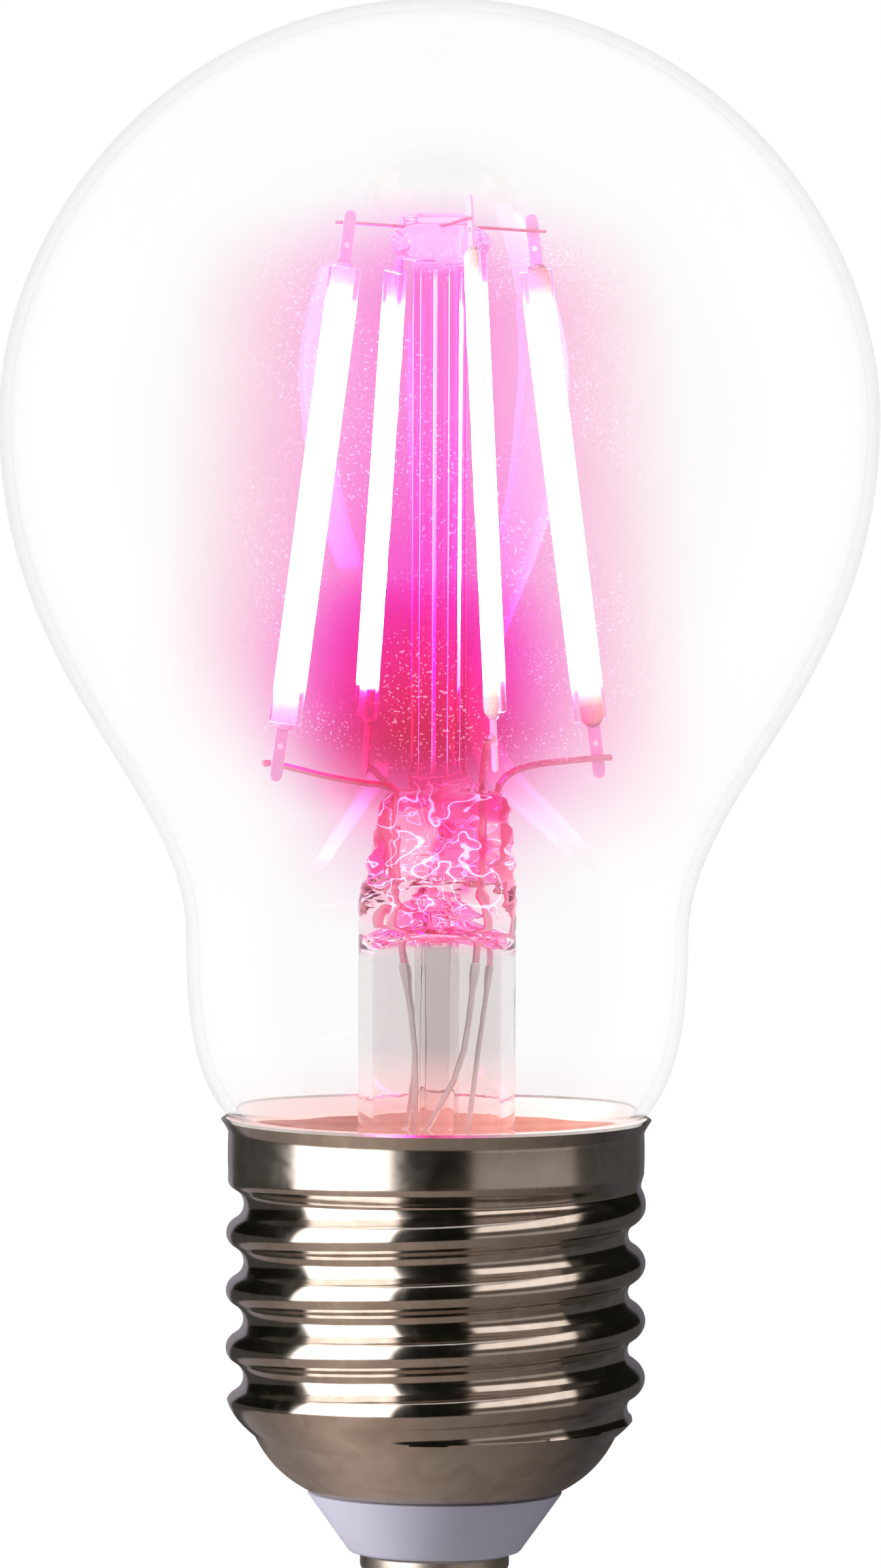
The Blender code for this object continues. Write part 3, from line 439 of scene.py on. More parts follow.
# Painted glow: an absorbing pink in the gas of the bulb stands in for the light of the filaments, pink
# all round them, crimson at the stem
paintedGlowSettings = {
    "outerLeft": 0.8 * mm, "outerFade": (18.5 * mm, 9.0 * mm), "outerStrength": 26.0,
    "outerTint": (0.99, 0.0, 0.80), "farTint": (0.96, 0.0, 0.42), "tintFade": (6 * mm, 13 * mm),
    "widening": 0.09, "widthAt": 66 * mm, "leftEnd": 0.35,
    "top": (86.8 * mm, 78.5 * mm), "low": (44.0 * mm, 55.0 * mm),
    "coreLeft": 1.2 * mm, "coreWidth": 5.4 * mm, "coreStrength": 640.0,
    # height in mm and share of the strength, then height in mm and colour
    "coreLevels": ((40.0, 0.0), (43.0, 0.035), (45.5, 0.07), (48.0, 0.16), (50.4, 0.46), (53.0, 0.88),
                   (55.5, 1.0), (58.0, 0.94), (60.3, 0.67), (62.7, 0.30), (68.0, 0.175), (73.0, 0.115),
                   (82.0, 0.10), (87.0, 0.0)),
    "coreTints": ((45.0, (0.92, 0.0, 0.55)), (49.5, (0.89, 0.0, 0.48)), (52.0, (0.90, 0.0, 0.52)),
                  (54.5, (0.96, 0.0, 0.68)), (57.0, (0.985, 0.0, 0.78)), (64.0, (0.99, 0.0, 0.84))),
    # painted orange-red glow low down, just above the rim
    "rim": (33.0 * mm, 28.0 * mm), "rimStrength": 5.0, "rimTint": (0.9, 0.0, 0.1),
    "stepRate": 0.3,
}


def addPaintedGlow(f, s):
    tree = f.tree
    _, across, deep, height = placeIn(tree)

    def squaredReach(side):
        moved = mathNode(tree, "POWER", mathNode(tree, "ADD", across, side), 2.0)
        return mathNode(tree, "ADD", moved, mathNode(tree, "POWER", deep, 2.0))

    # the cage of filaments widens downwards, and the glow with it
    wider = productNode(tree, mathNode(tree, "SUBTRACT", s["widthAt"], height), s["widening"])
    away = mathNode(tree, "SUBTRACT", mathNode(tree, "SQRT", squaredReach(s["outerLeft"])), wider)
    # on the left it ends higher up
    leftwards = productNode(tree, mathNode(tree, "MINIMUM", across, 0.0), s["leftEnd"])
    outer = productNode(tree, fadeNode(tree, away, s["outerFade"]),
                        fadeNode(tree, mathNode(tree, "ADD", height, leftwards), s["low"]),
                        fadeNode(tree, height, s["top"]), s["outerStrength"])
    outerTint = rampNode(tree, fadeNode(tree, away, s["tintFade"]),
                         ((0.0, s["outerTint"]), (1.0, s["farTint"])))
    bell = mathNode(tree, "DIVIDE", squaredReach(s["coreLeft"]), -s["coreWidth"] ** 2)
    bell = mathNode(tree, "EXPONENT", bell)
    core = productNode(tree, bell, byHeight(tree, height, s["coreLevels"]), s["coreStrength"])
    rim = productNode(tree, fadeNode(tree, height, s["rim"]), s["rimStrength"])
    coreTint = byHeight(tree, height, s["coreTints"])
    # painted glow: absorption colours tint all that is seen through the gas
    layers = [newNode(tree, "VolumeAbsorption", colour, density).outputs[0]
              for density, colour in ((outer, outerTint), (core, coreTint), (rim, s["rimTint"]))]
    shaderNode(tree, "Add", shaderNode(tree, "Add", *layers[:2]), layers[2],
               target=f.output.inputs["Volume"])
    f.material.cycles.volume_step_rate = s["stepRate"]


# Painted glints: specks on the inside of the glass glow pink by emission, as if they caught the light
# of the filaments
dustGlintSettings = {
    "specks": 6000.0, "speckFade": (0.67, 0.75), "drifts": 160.0, "driftFade": (0.40, 0.62),
    "side": (15 * mm, 6 * mm), "low": (50 * mm, 55 * mm), "top": (86 * mm, 80 * mm),
    "strength": 0.5, "colour": (1.0, 0.66, 0.95),
}


def addPaintedDustGlints(f, s):
    tree = f.tree
    where, across, _, height = placeIn(tree)
    specks = noiseNode(tree, where, Scale=s["specks"], Detail=0.0)
    drift = noiseNode(tree, where, Scale=s["drifts"], Detail=1.0)
    aside = mathNode(tree, "ABSOLUTE", across)
    lit = productNode(tree, fadeNode(tree, specks, s["speckFade"]),
                      fadeNode(tree, drift, s["driftFade"]), fadeNode(tree, aside, s["side"]),
                      fadeNode(tree, height, s["low"]), fadeNode(tree, height, s["top"]), s["strength"])
    # painted glints: the specks glow by emission, they light nothing
    f.set(Emission_Color=s["colour"], Emission_Strength=lit)


envelopeWaves = {"scale": 25.0, "depth": 0.000004, "ior": 1.45}
outsideGlass = clearGlass("blown_glass", envelopeWaves)
addPaintedGlow(outsideGlass, paintedGlowSettings)
insideGlass = clearGlass("blown_glass_inside", envelopeWaves)
addPaintedDustGlints(insideGlass, dustGlintSettings)
outer = envelopeOutline(envelopeSettings)
inner = insetOutline(outer, envelopeSettings["wall"])
envelopeMesh = lathe("glassEnvelope", [*outer, *reversed(inner)], envelopeSettings["steps"])
outerFaces = (len(outer) - 1) * envelopeSettings["steps"]
addPiece("glassEnvelope", envelopeMesh, outsideGlass.material, ("glass_envelope",))
envelopeMesh.materials.append(insideGlass.material)
for face in envelopeMesh.polygons[outerFaces:]:
    face.material_index = 1
print("envelope made")


# Stem: the flared tube, the pinch and the rod, melted into one piece of glass
stemSettings = {
    "seal": 22.9 * mm, "pinchBottom": 41.1 * mm, "pinchTop": 49.4 * mm,
    "tubeRadius": 4.95 * mm, "rimRadius": 10.52 * mm, "wall": 0.9 * mm, "flareHeight": 6.6 * mm,
    "flareCurve": 3.5, "hollowAbove": 0.3 * mm, "hollowDome": 2.6 * mm,
    "halfWidth": 4.65 * mm, "topHalfWidth": 4.0 * mm, "halfThickness": 2.2 * mm,
    "rodRadius": 1.7 * mm, "headBottom": 82.4 * mm, "headHeight": 3.0 * mm, "headRadius": 2.9 * mm,
    # radius and height of the head, as shares of the two values above
    "head": ((0.62, -0.03), (0.72, 0.0), (0.85, 0.05), (0.94, 0.14), (0.99, 0.28), (1.0, 0.42),
             (0.97, 0.54), (0.88, 0.64), (0.76, 0.70), (0.71, 0.76), (0.705, 0.84), (0.68, 0.92),
             (0.58, 0.97), (0.40, 0.995), (0.08, 1.0)),
    "lean": 0.5 * mm, "ripple": 0.36 * mm, "dent": 0.07, "drawn": 0.02, "steps": 96,
    # the way the air was pumped out, a bent bubble that ends near the front, in mm
    "bubble": ((0, 0, 42.9), (0.05, 0, 44.5), (0.25, -0.1, 46.2), (0.5, -0.6, 47.0), (0.7, -1.1, 47.1)),
}


def flareRadius(s, inner, rise):
    left = max(0.0, 1 - rise / s["flareHeight"])
    return inner + (s["rimRadius"] - s["tubeRadius"]) * left ** s["flareCurve"]


def stemSections(s):
    # half width, half thickness, squareness, height
    sections = []
    for i in range(40):
        rise = (s["pinchBottom"] - s["seal"]) * (i / 40) ** 1.4
        radius = flareRadius(s, s["tubeRadius"], rise)
        sections.append((radius, radius, 2.0, s["seal"] + rise))
    tall = s["pinchTop"] - s["pinchBottom"]
    for i in range(56):
        share = i / 55
        flat = smoothStep(share / 0.36)
        narrow = s["halfWidth"] + (s["topHalfWidth"] - s["halfWidth"]) * smoothStep((share - 0.3) / 0.6)
        close = max(0.0, (share - 0.84) / 0.16)
        roundOff = math.sqrt(max(0.0, 1 - close**2.2))
        width = s["tubeRadius"] + (narrow - s["tubeRadius"]) * flat
        thick = s["tubeRadius"] + (s["halfThickness"] - s["tubeRadius"]) * flat
        rod = s["rodRadius"] * 1.25
        sections.append((rod + (width - rod) * roundOff, rod + (thick - rod) * (0.15 + 0.85 * roundOff),
                         2.0 + 1.2 * flat * roundOff, s["pinchBottom"] + share * tall))
    shaft = s["headBottom"] - 0.25 * mm - s["pinchTop"]
    for i in range(1, 61):
        share = i / 60
        radius = s["rodRadius"] * (1 + 0.25 * (1 - smoothStep(share * 22)))
        sections.append((radius, radius, 2.0, s["pinchTop"] + share * shaft))
    for point in throughPoints([(r, 0, h) for r, h in s["head"]], 3):
        radius = s["headRadius"] * point.x
        sections.append((radius, radius, 2.0, s["headBottom"] + s["headHeight"] * point.z))
    return sections


def meltedPlace(s, place):
    # folds pressed in by the jaws and a lean to the right in the pinch, dents in the head
    pinch = smoothStep((place.z - s["pinchBottom"] + 0.5 * mm) / (2.5 * mm))
    pinch *= smoothStep((s["pinchTop"] + 0.9 * mm - place.z) / (0.9 * mm))
    reach = math.hypot(place.x, place.y)
    if pinch > 0 and reach > 1e-7:
        spot = Vector((place.x * 230, place.y * 230, place.z * 560))
        folds = 0.55 - 1.6 * abs(noise.fractal(spot, 0.9, 2.0, 3))
        depth = folds * s["ripple"] * pinch
        outward = Vector((place.x, place.y * 2.2, 0)).normalized()
        place = place + outward * depth
        rise = (place.z - s["pinchBottom"]) / (s["pinchTop"] - s["pinchBottom"])
        place.x += s["lean"] * smoothStep(rise) * pinch
        place.z += depth * 0.6 * pinch
    head = smoothStep((place.z - s["headBottom"] + 0.5 * mm) / (0.8 * mm))
    if reach > 1e-7 and place.z > s["pinchTop"]:
        turn = math.atan2(place.y, place.x)
        square = 1 + 0.05 * math.cos(4 * turn) - 0.10 * math.sin(turn) ** 2
        dents = noise.fractal(place * 520, 0.8, 2.0, 2) * s["dent"]
        slow = noise.noise(Vector((place.x * 150, place.y * 150, place.z * 45))) * s["drawn"]
        factor = 1 + head * (square - 1 + dents) + (1 - head) * (1 - pinch) * slow
        place = Vector((place.x * factor, place.y * factor, place.z))
    return place


def stemMesh(s):
    def ring(section, melted=False):
        halfWidth, halfThickness, square, height = section
        row = []
        for i in range(s["steps"]):
            turn = math.tau * i / s["steps"]
            cosine, sine = math.cos(turn), math.sin(turn)
            place = Vector((halfWidth * math.copysign(abs(cosine) ** (2 / square), cosine),
                            halfThickness * math.copysign(abs(sine) ** (2 / square), sine), height))
            row.append(work.verts.new(meltedPlace(s, place) if melted else place))
        return row

    work = bmesh.new()
    rows = [ring(section, True) for section in stemSections(s)]
    rows.append([work.verts.new((0, 0, s["headBottom"] + s["headHeight"]))])
    rows.reverse()
    hollowTop = s["pinchBottom"] + s["hollowAbove"]
    dome = s["hollowDome"]
    insideRadius = s["tubeRadius"] - s["wall"]
    for i in range(40):
        rise = (hollowTop - dome - s["seal"]) * (i / 40) ** 1.4
        radius = flareRadius(s, insideRadius, rise + s["wall"])
        rows.append(ring((radius, radius, 2.0, s["seal"] + rise)))
    for i in range(10):
        turn = math.pi / 2 * i / 10
        radius = insideRadius * math.cos(turn)
        rows.append(ring((radius, radius, 2.0, hollowTop - dome * (1 - math.sin(turn)))))
    rows.append([work.verts.new((0, 0, hollowTop))])
    skinRows(work, rows)
    bmesh.ops.recalc_face_normals(work, faces=work.faces)
    way = throughPoints([[c * mm for c in place] for place in s["bubble"]], 6)
    bubble = sweep("bubble", way, lambda t: (0.42 + 0.16 * math.sin(9 * t)) * mm, 16)
    bubble.flip_normals()
    work.from_mesh(bubble)
    return meshFrom(work, "stemGlass", outwards=False)


# Glass of the stem: a little grey in the tube. Painted light of the filaments: a pink tint and a
# painted glow where it is melted together, along the rod and in the head, and a salmon glow low in the
# flare. Heights in mm come with a colour or a strength.
meltSettings = {
    "waves": {"scale": 350.0, "depth": 0.00002, "ior": 1.42},
    "meltLow": (40.8 * mm, 42.6 * mm), "meltHigh": (50.5 * mm, 49.0 * mm),
    "swirls": {"Scale": 390.0, "Detail": 1.0, "Distortion": 1.0}, "highlightFade": (0.022, 0.004),
    "lightPools": {"Scale": 260.0, "Detail": 1.0, "Distortion": 0.5}, "lightPoolFade": (0.42, 0.56),
    "lightPoolColour": (0.86, 0.07, 0.38), "highlightColour": (1.0, 0.62, 0.90), "highlightStrength": 1.1,
    "glass": ((24.0, (0.87, 0.82, 0.82)), (40.5, (0.88, 0.84, 0.84)), (43.0, (0.96, 0.72, 0.80)),
              (48.0, (0.96, 0.78, 0.78)), (51.0, (0.99, 0.60, 0.96)), (81.5, (0.99, 0.62, 0.94)),
              (83.0, (0.98, 0.82, 0.93)), (86.0, (0.98, 0.82, 0.93))),
    "light": ((22.0, (1.0, 0.40, 0.38)), (36.0, (1.0, 0.42, 0.40)), (41.0, (0.85, 0.04, 0.24)),
              (52.0, (0.85, 0.04, 0.24))),
    "strength": ((22.0, 0.14), (29.0, 0.10), (33.0, 0.0), (40.6, 0.0), (41.5, 0.14), (43.0, 0.14),
                 (48.5, 0.12), (51.0, 0.0), (81.5, 0.0), (82.5, 0.14), (86.0, 0.14)),
    # painted reflections of the filaments run along the rod as bright streaks
    "rodLow": (50.0 * mm, 52.0 * mm), "rodHigh": (82.0 * mm, 81.0 * mm),
    "filamentReflections": 11.0, "reflectionTurn": 0.9, "reflectionFade": (0.955, 0.995), "reflectionStrength": 2.4,
}


def meltedGlass(s):
    f = clearGlass("melted_glass", s["waves"])
    tree = f.tree
    where, across, deep, height = placeIn(tree)
    swirl = noiseNode(tree, where, **s["swirls"])
    lightPools = noiseNode(tree, where, **s["lightPools"])
    melted = productNode(tree, fadeNode(tree, height, s["meltLow"]),
                         fadeNode(tree, height, s["meltHigh"]))
    # painted highlights: thin bright lines where the folds would catch the light, painted crimson light
    # in pools between them
    offLine = mathNode(tree, "ABSOLUTE", mathNode(tree, "SUBTRACT", swirl, 0.5))
    lines = productNode(tree, fadeNode(tree, offLine, s["highlightFade"]), melted)
    crimson = productNode(tree, fadeNode(tree, lightPools, s["lightPoolFade"]), melted)
    # painted reflections of the filaments: streaks of emission along the rod
    rod = fadeNode(tree, height, s["rodLow"])
    turn = mathNode(tree, "ARCTAN2", deep, across)
    wave = mathNode(tree, "COSINE", mathNode(tree, "MULTIPLY_ADD", turn, s["filamentReflections"], s["reflectionTurn"]))
    filamentReflections = productNode(tree, fadeNode(tree, wave, s["reflectionFade"]), rod,
                          fadeNode(tree, height, s["rodHigh"]))
    bright = mathNode(tree, "ADD", productNode(tree, lines, s["highlightStrength"]),
                      productNode(tree, filamentReflections, s["reflectionStrength"]))
    # painted pink tint in the glass colour and painted glow, both by height
    glass, light, level = (byHeight(tree, height, s[key]) for key in ("glass", "light", "strength"))
    lit = mathNode(tree, "MAXIMUM", lines, rod)
    f.set(Base_Color=mixNode(tree, crimson, glass, s["lightPoolColour"]),
          Emission_Color=mixNode(tree, lit, light, s["highlightColour"]),
          Emission_Strength=mathNode(tree, "ADD", level, bright))
    return f.material


stemGlass = meltedGlass(meltSettings)
addPiece("stemGlass", stemMesh(stemSettings), stemGlass,
         ("stem_flare", "stem_column"), 60)


# Exhaust tube, melted shut at its lower end
tubeSettings = {
    "radius": 1.4 * mm, "bore": 0.8 * mm, "top": 42.0 * mm, "rings": 17, "ringStep": 1.2 * mm,
    "tip": 19.8 * mm, "tipRise": 2.0 * mm, "boreRise": 1.2 * mm, "tipWall": 1.5 * mm,
}


def exhaustOutline(s):
    radius, bore, top, tip = s["radius"], s["bore"], s["top"], s["tip"]
    end = tip + s["tipWall"]
    outline = [(bore, 42.15 * mm), (1.1 * mm, 42.22 * mm), (radius, 42.1 * mm)]
    outline += [(radius, top - i * s["ringStep"]) for i in range(s["rings"])]
    for i in range(9):
        turn = math.pi / 2 * i / 8
        outline.append((radius * math.cos(turn), tip + s["tipRise"] * (1 - math.sin(turn))))
    for i in range(7):
        turn = math.pi / 2 * (1 - i / 6)
        outline.append((bore * math.cos(turn), end + s["boreRise"] * (1 - math.sin(turn))))
    return outline


addPiece("exhaustTube", lathe("exhaustTube", exhaustOutline(tubeSettings), 48, ring=True), stemGlass,
         ("exhaust_tube",))
print("stem made")


# Filaments: carrier, coat, glue at both ends
filamentSettings = {
    "places": ((205.0, 0.15), (117.0, -0.1), (290.5, 1.1), (23.0, 0.0)),  # direction, lift in mm
    "topRing": 6.5 * mm, "bottomRing": 10.5 * mm, "topHeight": 81.8 * mm, "span": 28.3 * mm,
    "width": 2.1 * mm, "thickness": 0.45 * mm, "edge": 0.12 * mm,
    "coatWidth": 1.5 * mm, "coatThickness": 0.62 * mm, "coatOverhang": 0.3 * mm,
    "coatGap": 0.04 * mm, "coatRound": 0.55 * mm, "coatRows": 90,
    "glue": (0.62 * mm, 0.30 * mm, 0.34 * mm), "glueBeyond": 0.10 * mm,
    "glow": 4.0, "glowThroughGas": 12.0, "middle": (0.88, 0.84),
    # what the gas takes out in front of the rear filament, low down
    "lowRear": (0.0, 400.0, 12.0), "low": (1 * mm, -7 * mm),
}
# Colours of the light by the distance from the middle, and of the coat itself: it thins out at the
# ends, warm on the right and pink on the left
coatMiddle = ((0.0, (1.0, 0.46, 0.82)), (0.83, (1.0, 0.50, 0.80)))
warmEnds = ((0.88, (0.40, 0.26, 0.15)), (0.925, (0.14, 0.06, 0.04)), (1.0, (0.03, 0.01, 0.012)))
pinkEnds = ((0.88, (0.62, 0.36, 0.56)), (0.925, (0.30, 0.14, 0.24)), (1.0, (0.16, 0.06, 0.12)))
warmTones = ((1.0, 0.62, 0.50), (1.0, 0.80, 0.74))
pinkTones = ((1.0, 0.70, 0.86), (1.0, 0.84, 0.94))
carrierLight = ((0.0, (1.0, 0.46, 0.85)), (0.83, (1.0, 0.46, 0.85)), (0.865, (0.12, 0.05, 0.10)),
                (0.88, (0.0, 0.0, 0.0)), (1.0, (0.0, 0.0, 0.0)))


def filamentFrame(s, number):
    angle, lift = s["places"][number]
    top = around(angle, s["topRing"], s["topHeight"] + lift * mm)
    bottom = around(angle, s["bottomRing"], s["topHeight"] - s["span"] + lift * mm)
    along = (top - bottom).normalized()
    coated = around(angle - 90, 1, 0)
    turn = Matrix((along.cross(coated), -coated, along)).transposed().to_4x4()
    return Matrix.Translation((top + bottom) / 2) @ turn, (top - bottom).length


def lightUp(f, s, stops, halfLength, rear):
    # the middle stays white when it is seen straight through the lit gas
    tree = f.tree
    *_, height = placeIn(tree)
    share = mathNode(tree, "DIVIDE", mathNode(tree, "ABSOLUTE", height), halfLength)
    colour = rampNode(tree, share, stops)
    path = newNode(tree, "LightPath")
    straight = mathNode(tree, "LESS_THAN", path.outputs["Glossy Depth"], 0.5)
    middle = productNode(tree, fadeNode(tree, share, s["middle"]), straight,
                         path.outputs["Is Transmission Ray"])
    level = mathNode(tree, "ADD", productNode(tree, middle, s["glowThroughGas"]), s["glow"])
    if rear:
        # more of what the gas takes out is added there
        low = productNode(tree, fadeNode(tree, height, s["low"]), middle)
        scaled = [newNode(tree, "VectorMath", value, operation="SCALE", Scale=by).outputs[0]
                  for value, by in ((colour, level), (s["lowRear"], low))]
        colour = newNode(tree, "VectorMath", *scaled, operation="ADD").outputs[0]
        level = 1.0
    f.set(Emission_Color=colour, Emission_Strength=level)


def coatMaterial(s, name, rear, ends, tones):
    f = Finish(name, tones[1], 0.45)
    lightUp(f, s, coatMiddle + ends, s["span"] / 2 + s["coatOverhang"], rear)
    masks = f.group(mottle, Scale=900.0, Fine_Scale=5000.0)
    f.tones(masks["Clouds"], *tones)
    f.bump(masks["Pits"], 0.00003)
    return f.material


def carrierMaterial(s, name, rear):
    f = Finish(name, (1.0, 0.97, 0.99), 0.03, Transmission_Weight=0.95, IOR=1.5)
    lightUp(f, s, carrierLight, s["span"] / 2, rear)
    masks = f.group(mottle, Scale=500.0, Fine_Scale=4000.0)
    f.spread(masks["Clouds"], 0.01, 0.06)
    return f.material


def coatMesh(s, length):
    work = bmesh.new()
    rows = []
    half = length / 2 + s["coatOverhang"]
    base = -(s["thickness"] / 2 + s["coatGap"])
    for i in range(s["coatRows"] + 1):
        z = half * math.sin(math.pi * (i / s["coatRows"] - 0.5))
        past = max(0.0, (abs(z) - half + s["coatRound"]) / s["coatRound"])
        fade = max(min(1.0, math.sqrt(max(0.0, 1 - past**2))), 0.3)
        wide = s["coatWidth"] / 2 * fade * (1 + 0.10 * noise.noise(Vector((z * 700, 3.1, 0))))
        high = s["coatThickness"] * fade * (1 + 0.08 * noise.noise(Vector((z * 500, 7.7, 0))) - 0.04)
        turns = [math.pi * k / 16 for k in range(17)]
        row = [(wide * math.cos(turn), base - high * math.sin(turn), z) for turn in turns]
        row += [(wide * (2 * k / 6 - 1), base, z) for k in range(1, 6)]
        rows.append([work.verts.new(place) for place in row])
    low, high = [(0, base - 0.1 * mm, end * (half + 0.03 * mm)) for end in (-1, 1)]
    skinRows(work, [[work.verts.new(low)], *rows, [work.verts.new(high)]])
    return meshFrom(work, "filamentCoat")


def carrierMesh(s, length):
    work = bmesh.new()
    bmesh.ops.create_cube(work, size=1)
    bmesh.ops.scale(work, vec=(s["width"], s["thickness"], length), verts=work.verts)
    bmesh.ops.bevel(work, geom=list(work.edges), offset=s["edge"], segments=3, affect="EDGES",
                    profile=0.5)
    return meshFrom(work, "filamentCarrier")


def glueMesh(s, length, seed):
    # a drop of clear glue over each place where a tab leaves the carrier
    work = bmesh.new()
    wide, deep, tall = s["glue"]
    for side in (-1, 1):
        drop = bmesh.new()
        bmesh.ops.create_icosphere(drop, subdivisions=3, radius=1.0)
        for v in drop.verts:
            bulge = 1 + 0.25 * noise.noise(v.co * 1.6 + Vector((seed, side, 0)))
            v.co = Vector((v.co.x * wide * bulge, v.co.y * deep - deep,
                           side * (length / 2 + s["glueBeyond"]) + v.co.z * tall * bulge))
        work.from_mesh(meshFrom(drop, "drop", outwards=False))
    return meshFrom(work, "filamentGlue", outwards=False)


s = filamentSettings
coatFinishes = [coatMaterial(s, "lit_phosphor_left", False, pinkEnds, pinkTones),
                coatMaterial(s, "lit_phosphor_rear", True, pinkEnds, pinkTones),
                coatMaterial(s, "lit_phosphor", False, warmEnds, warmTones)]
carrierFinishes = [carrierMaterial(s, "lit_carrier", False),
                   carrierMaterial(s, "lit_carrier_rear", True)]
glueFinish = Finish("cured_glue", (1.0, 0.93, 0.97), 0.12, Transmission_Weight=0.6).material
for number in range(4):
    place, length = filamentFrame(s, number)
    label = number + 1
    addPiece(f"filamentCoat{label}", coatMesh(s, length), coatFinishes[min(number, 2)],
             (f"filament_gel_{label}",), 60, place)
    addPiece(f"filamentCarrier{label}", carrierMesh(s, length), carrierFinishes[number == 1],
             (f"filament_strip_{label}",), 30, place)
    addPiece(f"filamentGlue{label}", glueMesh(s, length, number), glueFinish, (), 60,
             place)
print("filaments made")


# Screw shell
shellSettings = {
    "sheet": 0.28 * mm, "mouthRadius": 7.85 * mm, "mouthHeight": 5.1 * mm,
    "cupRadius": 11.4 * mm, "cupHeight": 8.6 * mm, "cupBulge": 0.45 * mm,
    "threadRadius": 13.2 * mm, "threadDepth": 1.1 * mm, "pitch": 3.629 * mm,
    "threadTop": 25.2 * mm, "shoulder": 2.8 * mm, "runOut": 1.5 * mm,
    "collarRadius": 13.08 * mm, "collarTop": 27.7 * mm, "lipTop": 28.5 * mm, "flare": 0.45 * mm,
    "collarSwell": 0.03 * mm, "outOfRound": 0.0009, "steps": 160,
    "threadRoughness": 0.12, "collarRoughness": 0.2, "cupRoughness": 0.36,
    "collarFade": (24.6 * mm, 25.4 * mm), "cupFade": (9.0 * mm, 8.3 * mm),
}


def threadDepthAt(s, offset):
    half = s["pitch"] / 2
    arc = (half * half + s["threadDepth"] ** 2) / (4 * s["threadDepth"])
    offset = min(abs(offset), half)
    if offset < half / 2:
        return arc - math.sqrt(arc * arc - offset * offset)
    return s["threadDepth"] - arc + math.sqrt(arc * arc - (half - offset) ** 2)


def threadRadiusAt(s, height, turn):
    firstCrest = s["cupHeight"] + 0.02 * mm
    phase = (height - firstCrest) / s["pitch"] - turn
    groove = firstCrest + s["pitch"] * (math.floor(phase) + 0.5 + turn)
    depth = threadDepthAt(s, (phase - round(phase)) * s["pitch"])
    starts = smoothStep((groove - s["cupHeight"] - 0.1 * mm) / (0.8 * mm))
    ends = smoothStep((s["threadTop"] + 0.3 * mm - groove) / (1.3 * mm))
    rise = smoothStep((height - s["threadTop"] + s["pitch"] / 2) / (s["pitch"] / 2))
    crest = s["threadRadius"] + (s["collarRadius"] - s["threadRadius"]) * rise
    left = 1 - min(1.0, (height - s["cupHeight"]) / s["shoulder"])
    shoulder = s["cupRadius"] + (s["threadRadius"] - s["cupRadius"]) * (1 - left * left)
    runOut = smoothStep((s["threadTop"] + 0.1 * mm - height) / s["runOut"])
    return min(crest - depth * starts * ends * runOut, shoulder)


def shellLevels(s):
    # heights of the outer side from the lip down to the mouth, with the radius where it is even
    levels = []
    for i in range(7):
        share = i / 6
        levels.append((s["lipTop"] - (s["lipTop"] - s["collarTop"]) * share,
                       s["collarRadius"] + s["flare"] * (1 - share) ** 1.3))
    for i in range(1, 14):
        levels.append((s["collarTop"] - (s["collarTop"] - s["threadTop"]) * i / 13,
                       s["collarRadius"] + s["collarSwell"] * math.sin(math.pi * i / 13)))
    for i in range(1, 105):
        levels.append((s["threadTop"] - (s["threadTop"] - s["cupHeight"]) * i / 104, None))
    for i in range(1, 19):
        share = 1 - i / 18
        swell = s["cupBulge"] * 4 * share * (1 - share) / math.sqrt(2)
        levels.append((s["mouthHeight"] + (s["cupHeight"] - s["mouthHeight"]) * share - swell,
                       s["mouthRadius"] + (s["cupRadius"] - s["mouthRadius"]) * share + swell))
    return levels


def shellMesh(s):
    # the outer side down, then the inner side back up
    levels = shellLevels(s)
    work = bmesh.new()

    def radiusAt(index, turn):
        height, fixed = levels[index]
        return threadRadiusAt(s, height, turn) if fixed is None else fixed

    def ringAt(index, inwards):
        row = []
        before, after = max(index - 1, 0), min(index + 1, len(levels) - 1)
        rise = levels[after][0] - levels[before][0]
        for k in range(s["steps"]):
            turn = k / s["steps"]
            run = radiusAt(after, turn) - radiusAt(before, turn)
            length = math.hypot(run, rise)
            spot = around(360 * turn, radiusAt(index, turn) + rise / length * inwards,
                          levels[index][0] - run / length * inwards)
            if inwards == 0:
                # rolled metal is never quite round
                spot += Vector((spot.x, spot.y, 0)) * s["outOfRound"] * noise.noise(spot * 160)
            row.append(work.verts.new(spot))
        return row

    rows = [ringAt(i, 0.0) for i in range(len(levels))]
    rows += [ringAt(i, s["sheet"]) for i in reversed(range(len(levels)))]
    skinRows(work, rows, ring=True)
    return meshFrom(work, "screwShell")


def shellMaterial(s):
    f = Finish("rolled_nickel", (0.69, 0.63, 0.58), 0.16, 1.0)
    brush = f.group(brushLines, Lines=7000.0, Along=40.0)
    f.tones(brush["Scuffs"], (0.62, 0.56, 0.51), (0.71, 0.655, 0.61), 0.35, 0.6)
    # the rolled thread is polished, the collar a little less, and the cup is dull
    tree = f.tree
    *_, height = placeIn(tree)
    collar = mixNode(tree, fadeNode(tree, height, s["collarFade"]),
                     s["threadRoughness"], s["collarRoughness"], "FLOAT")
    cup = mixNode(tree, fadeNode(tree, height, s["cupFade"]), collar, s["cupRoughness"], "FLOAT")
    lift = rangeNode(tree, brush["Scuffs"], From_Min=0.3, From_Max=0.7, To_Min=-0.02, To_Max=0.04)
    f.set(Roughness=mathNode(tree, "ADD", cup, lift))
    f.bump(brush["Lines"], 0.0000009)
    return f.material


nickel = shellMaterial(shellSettings)
shellPiece = shellMesh(shellSettings)
addPiece("screwShell", shellPiece, nickel, ("base_shell",), 50)
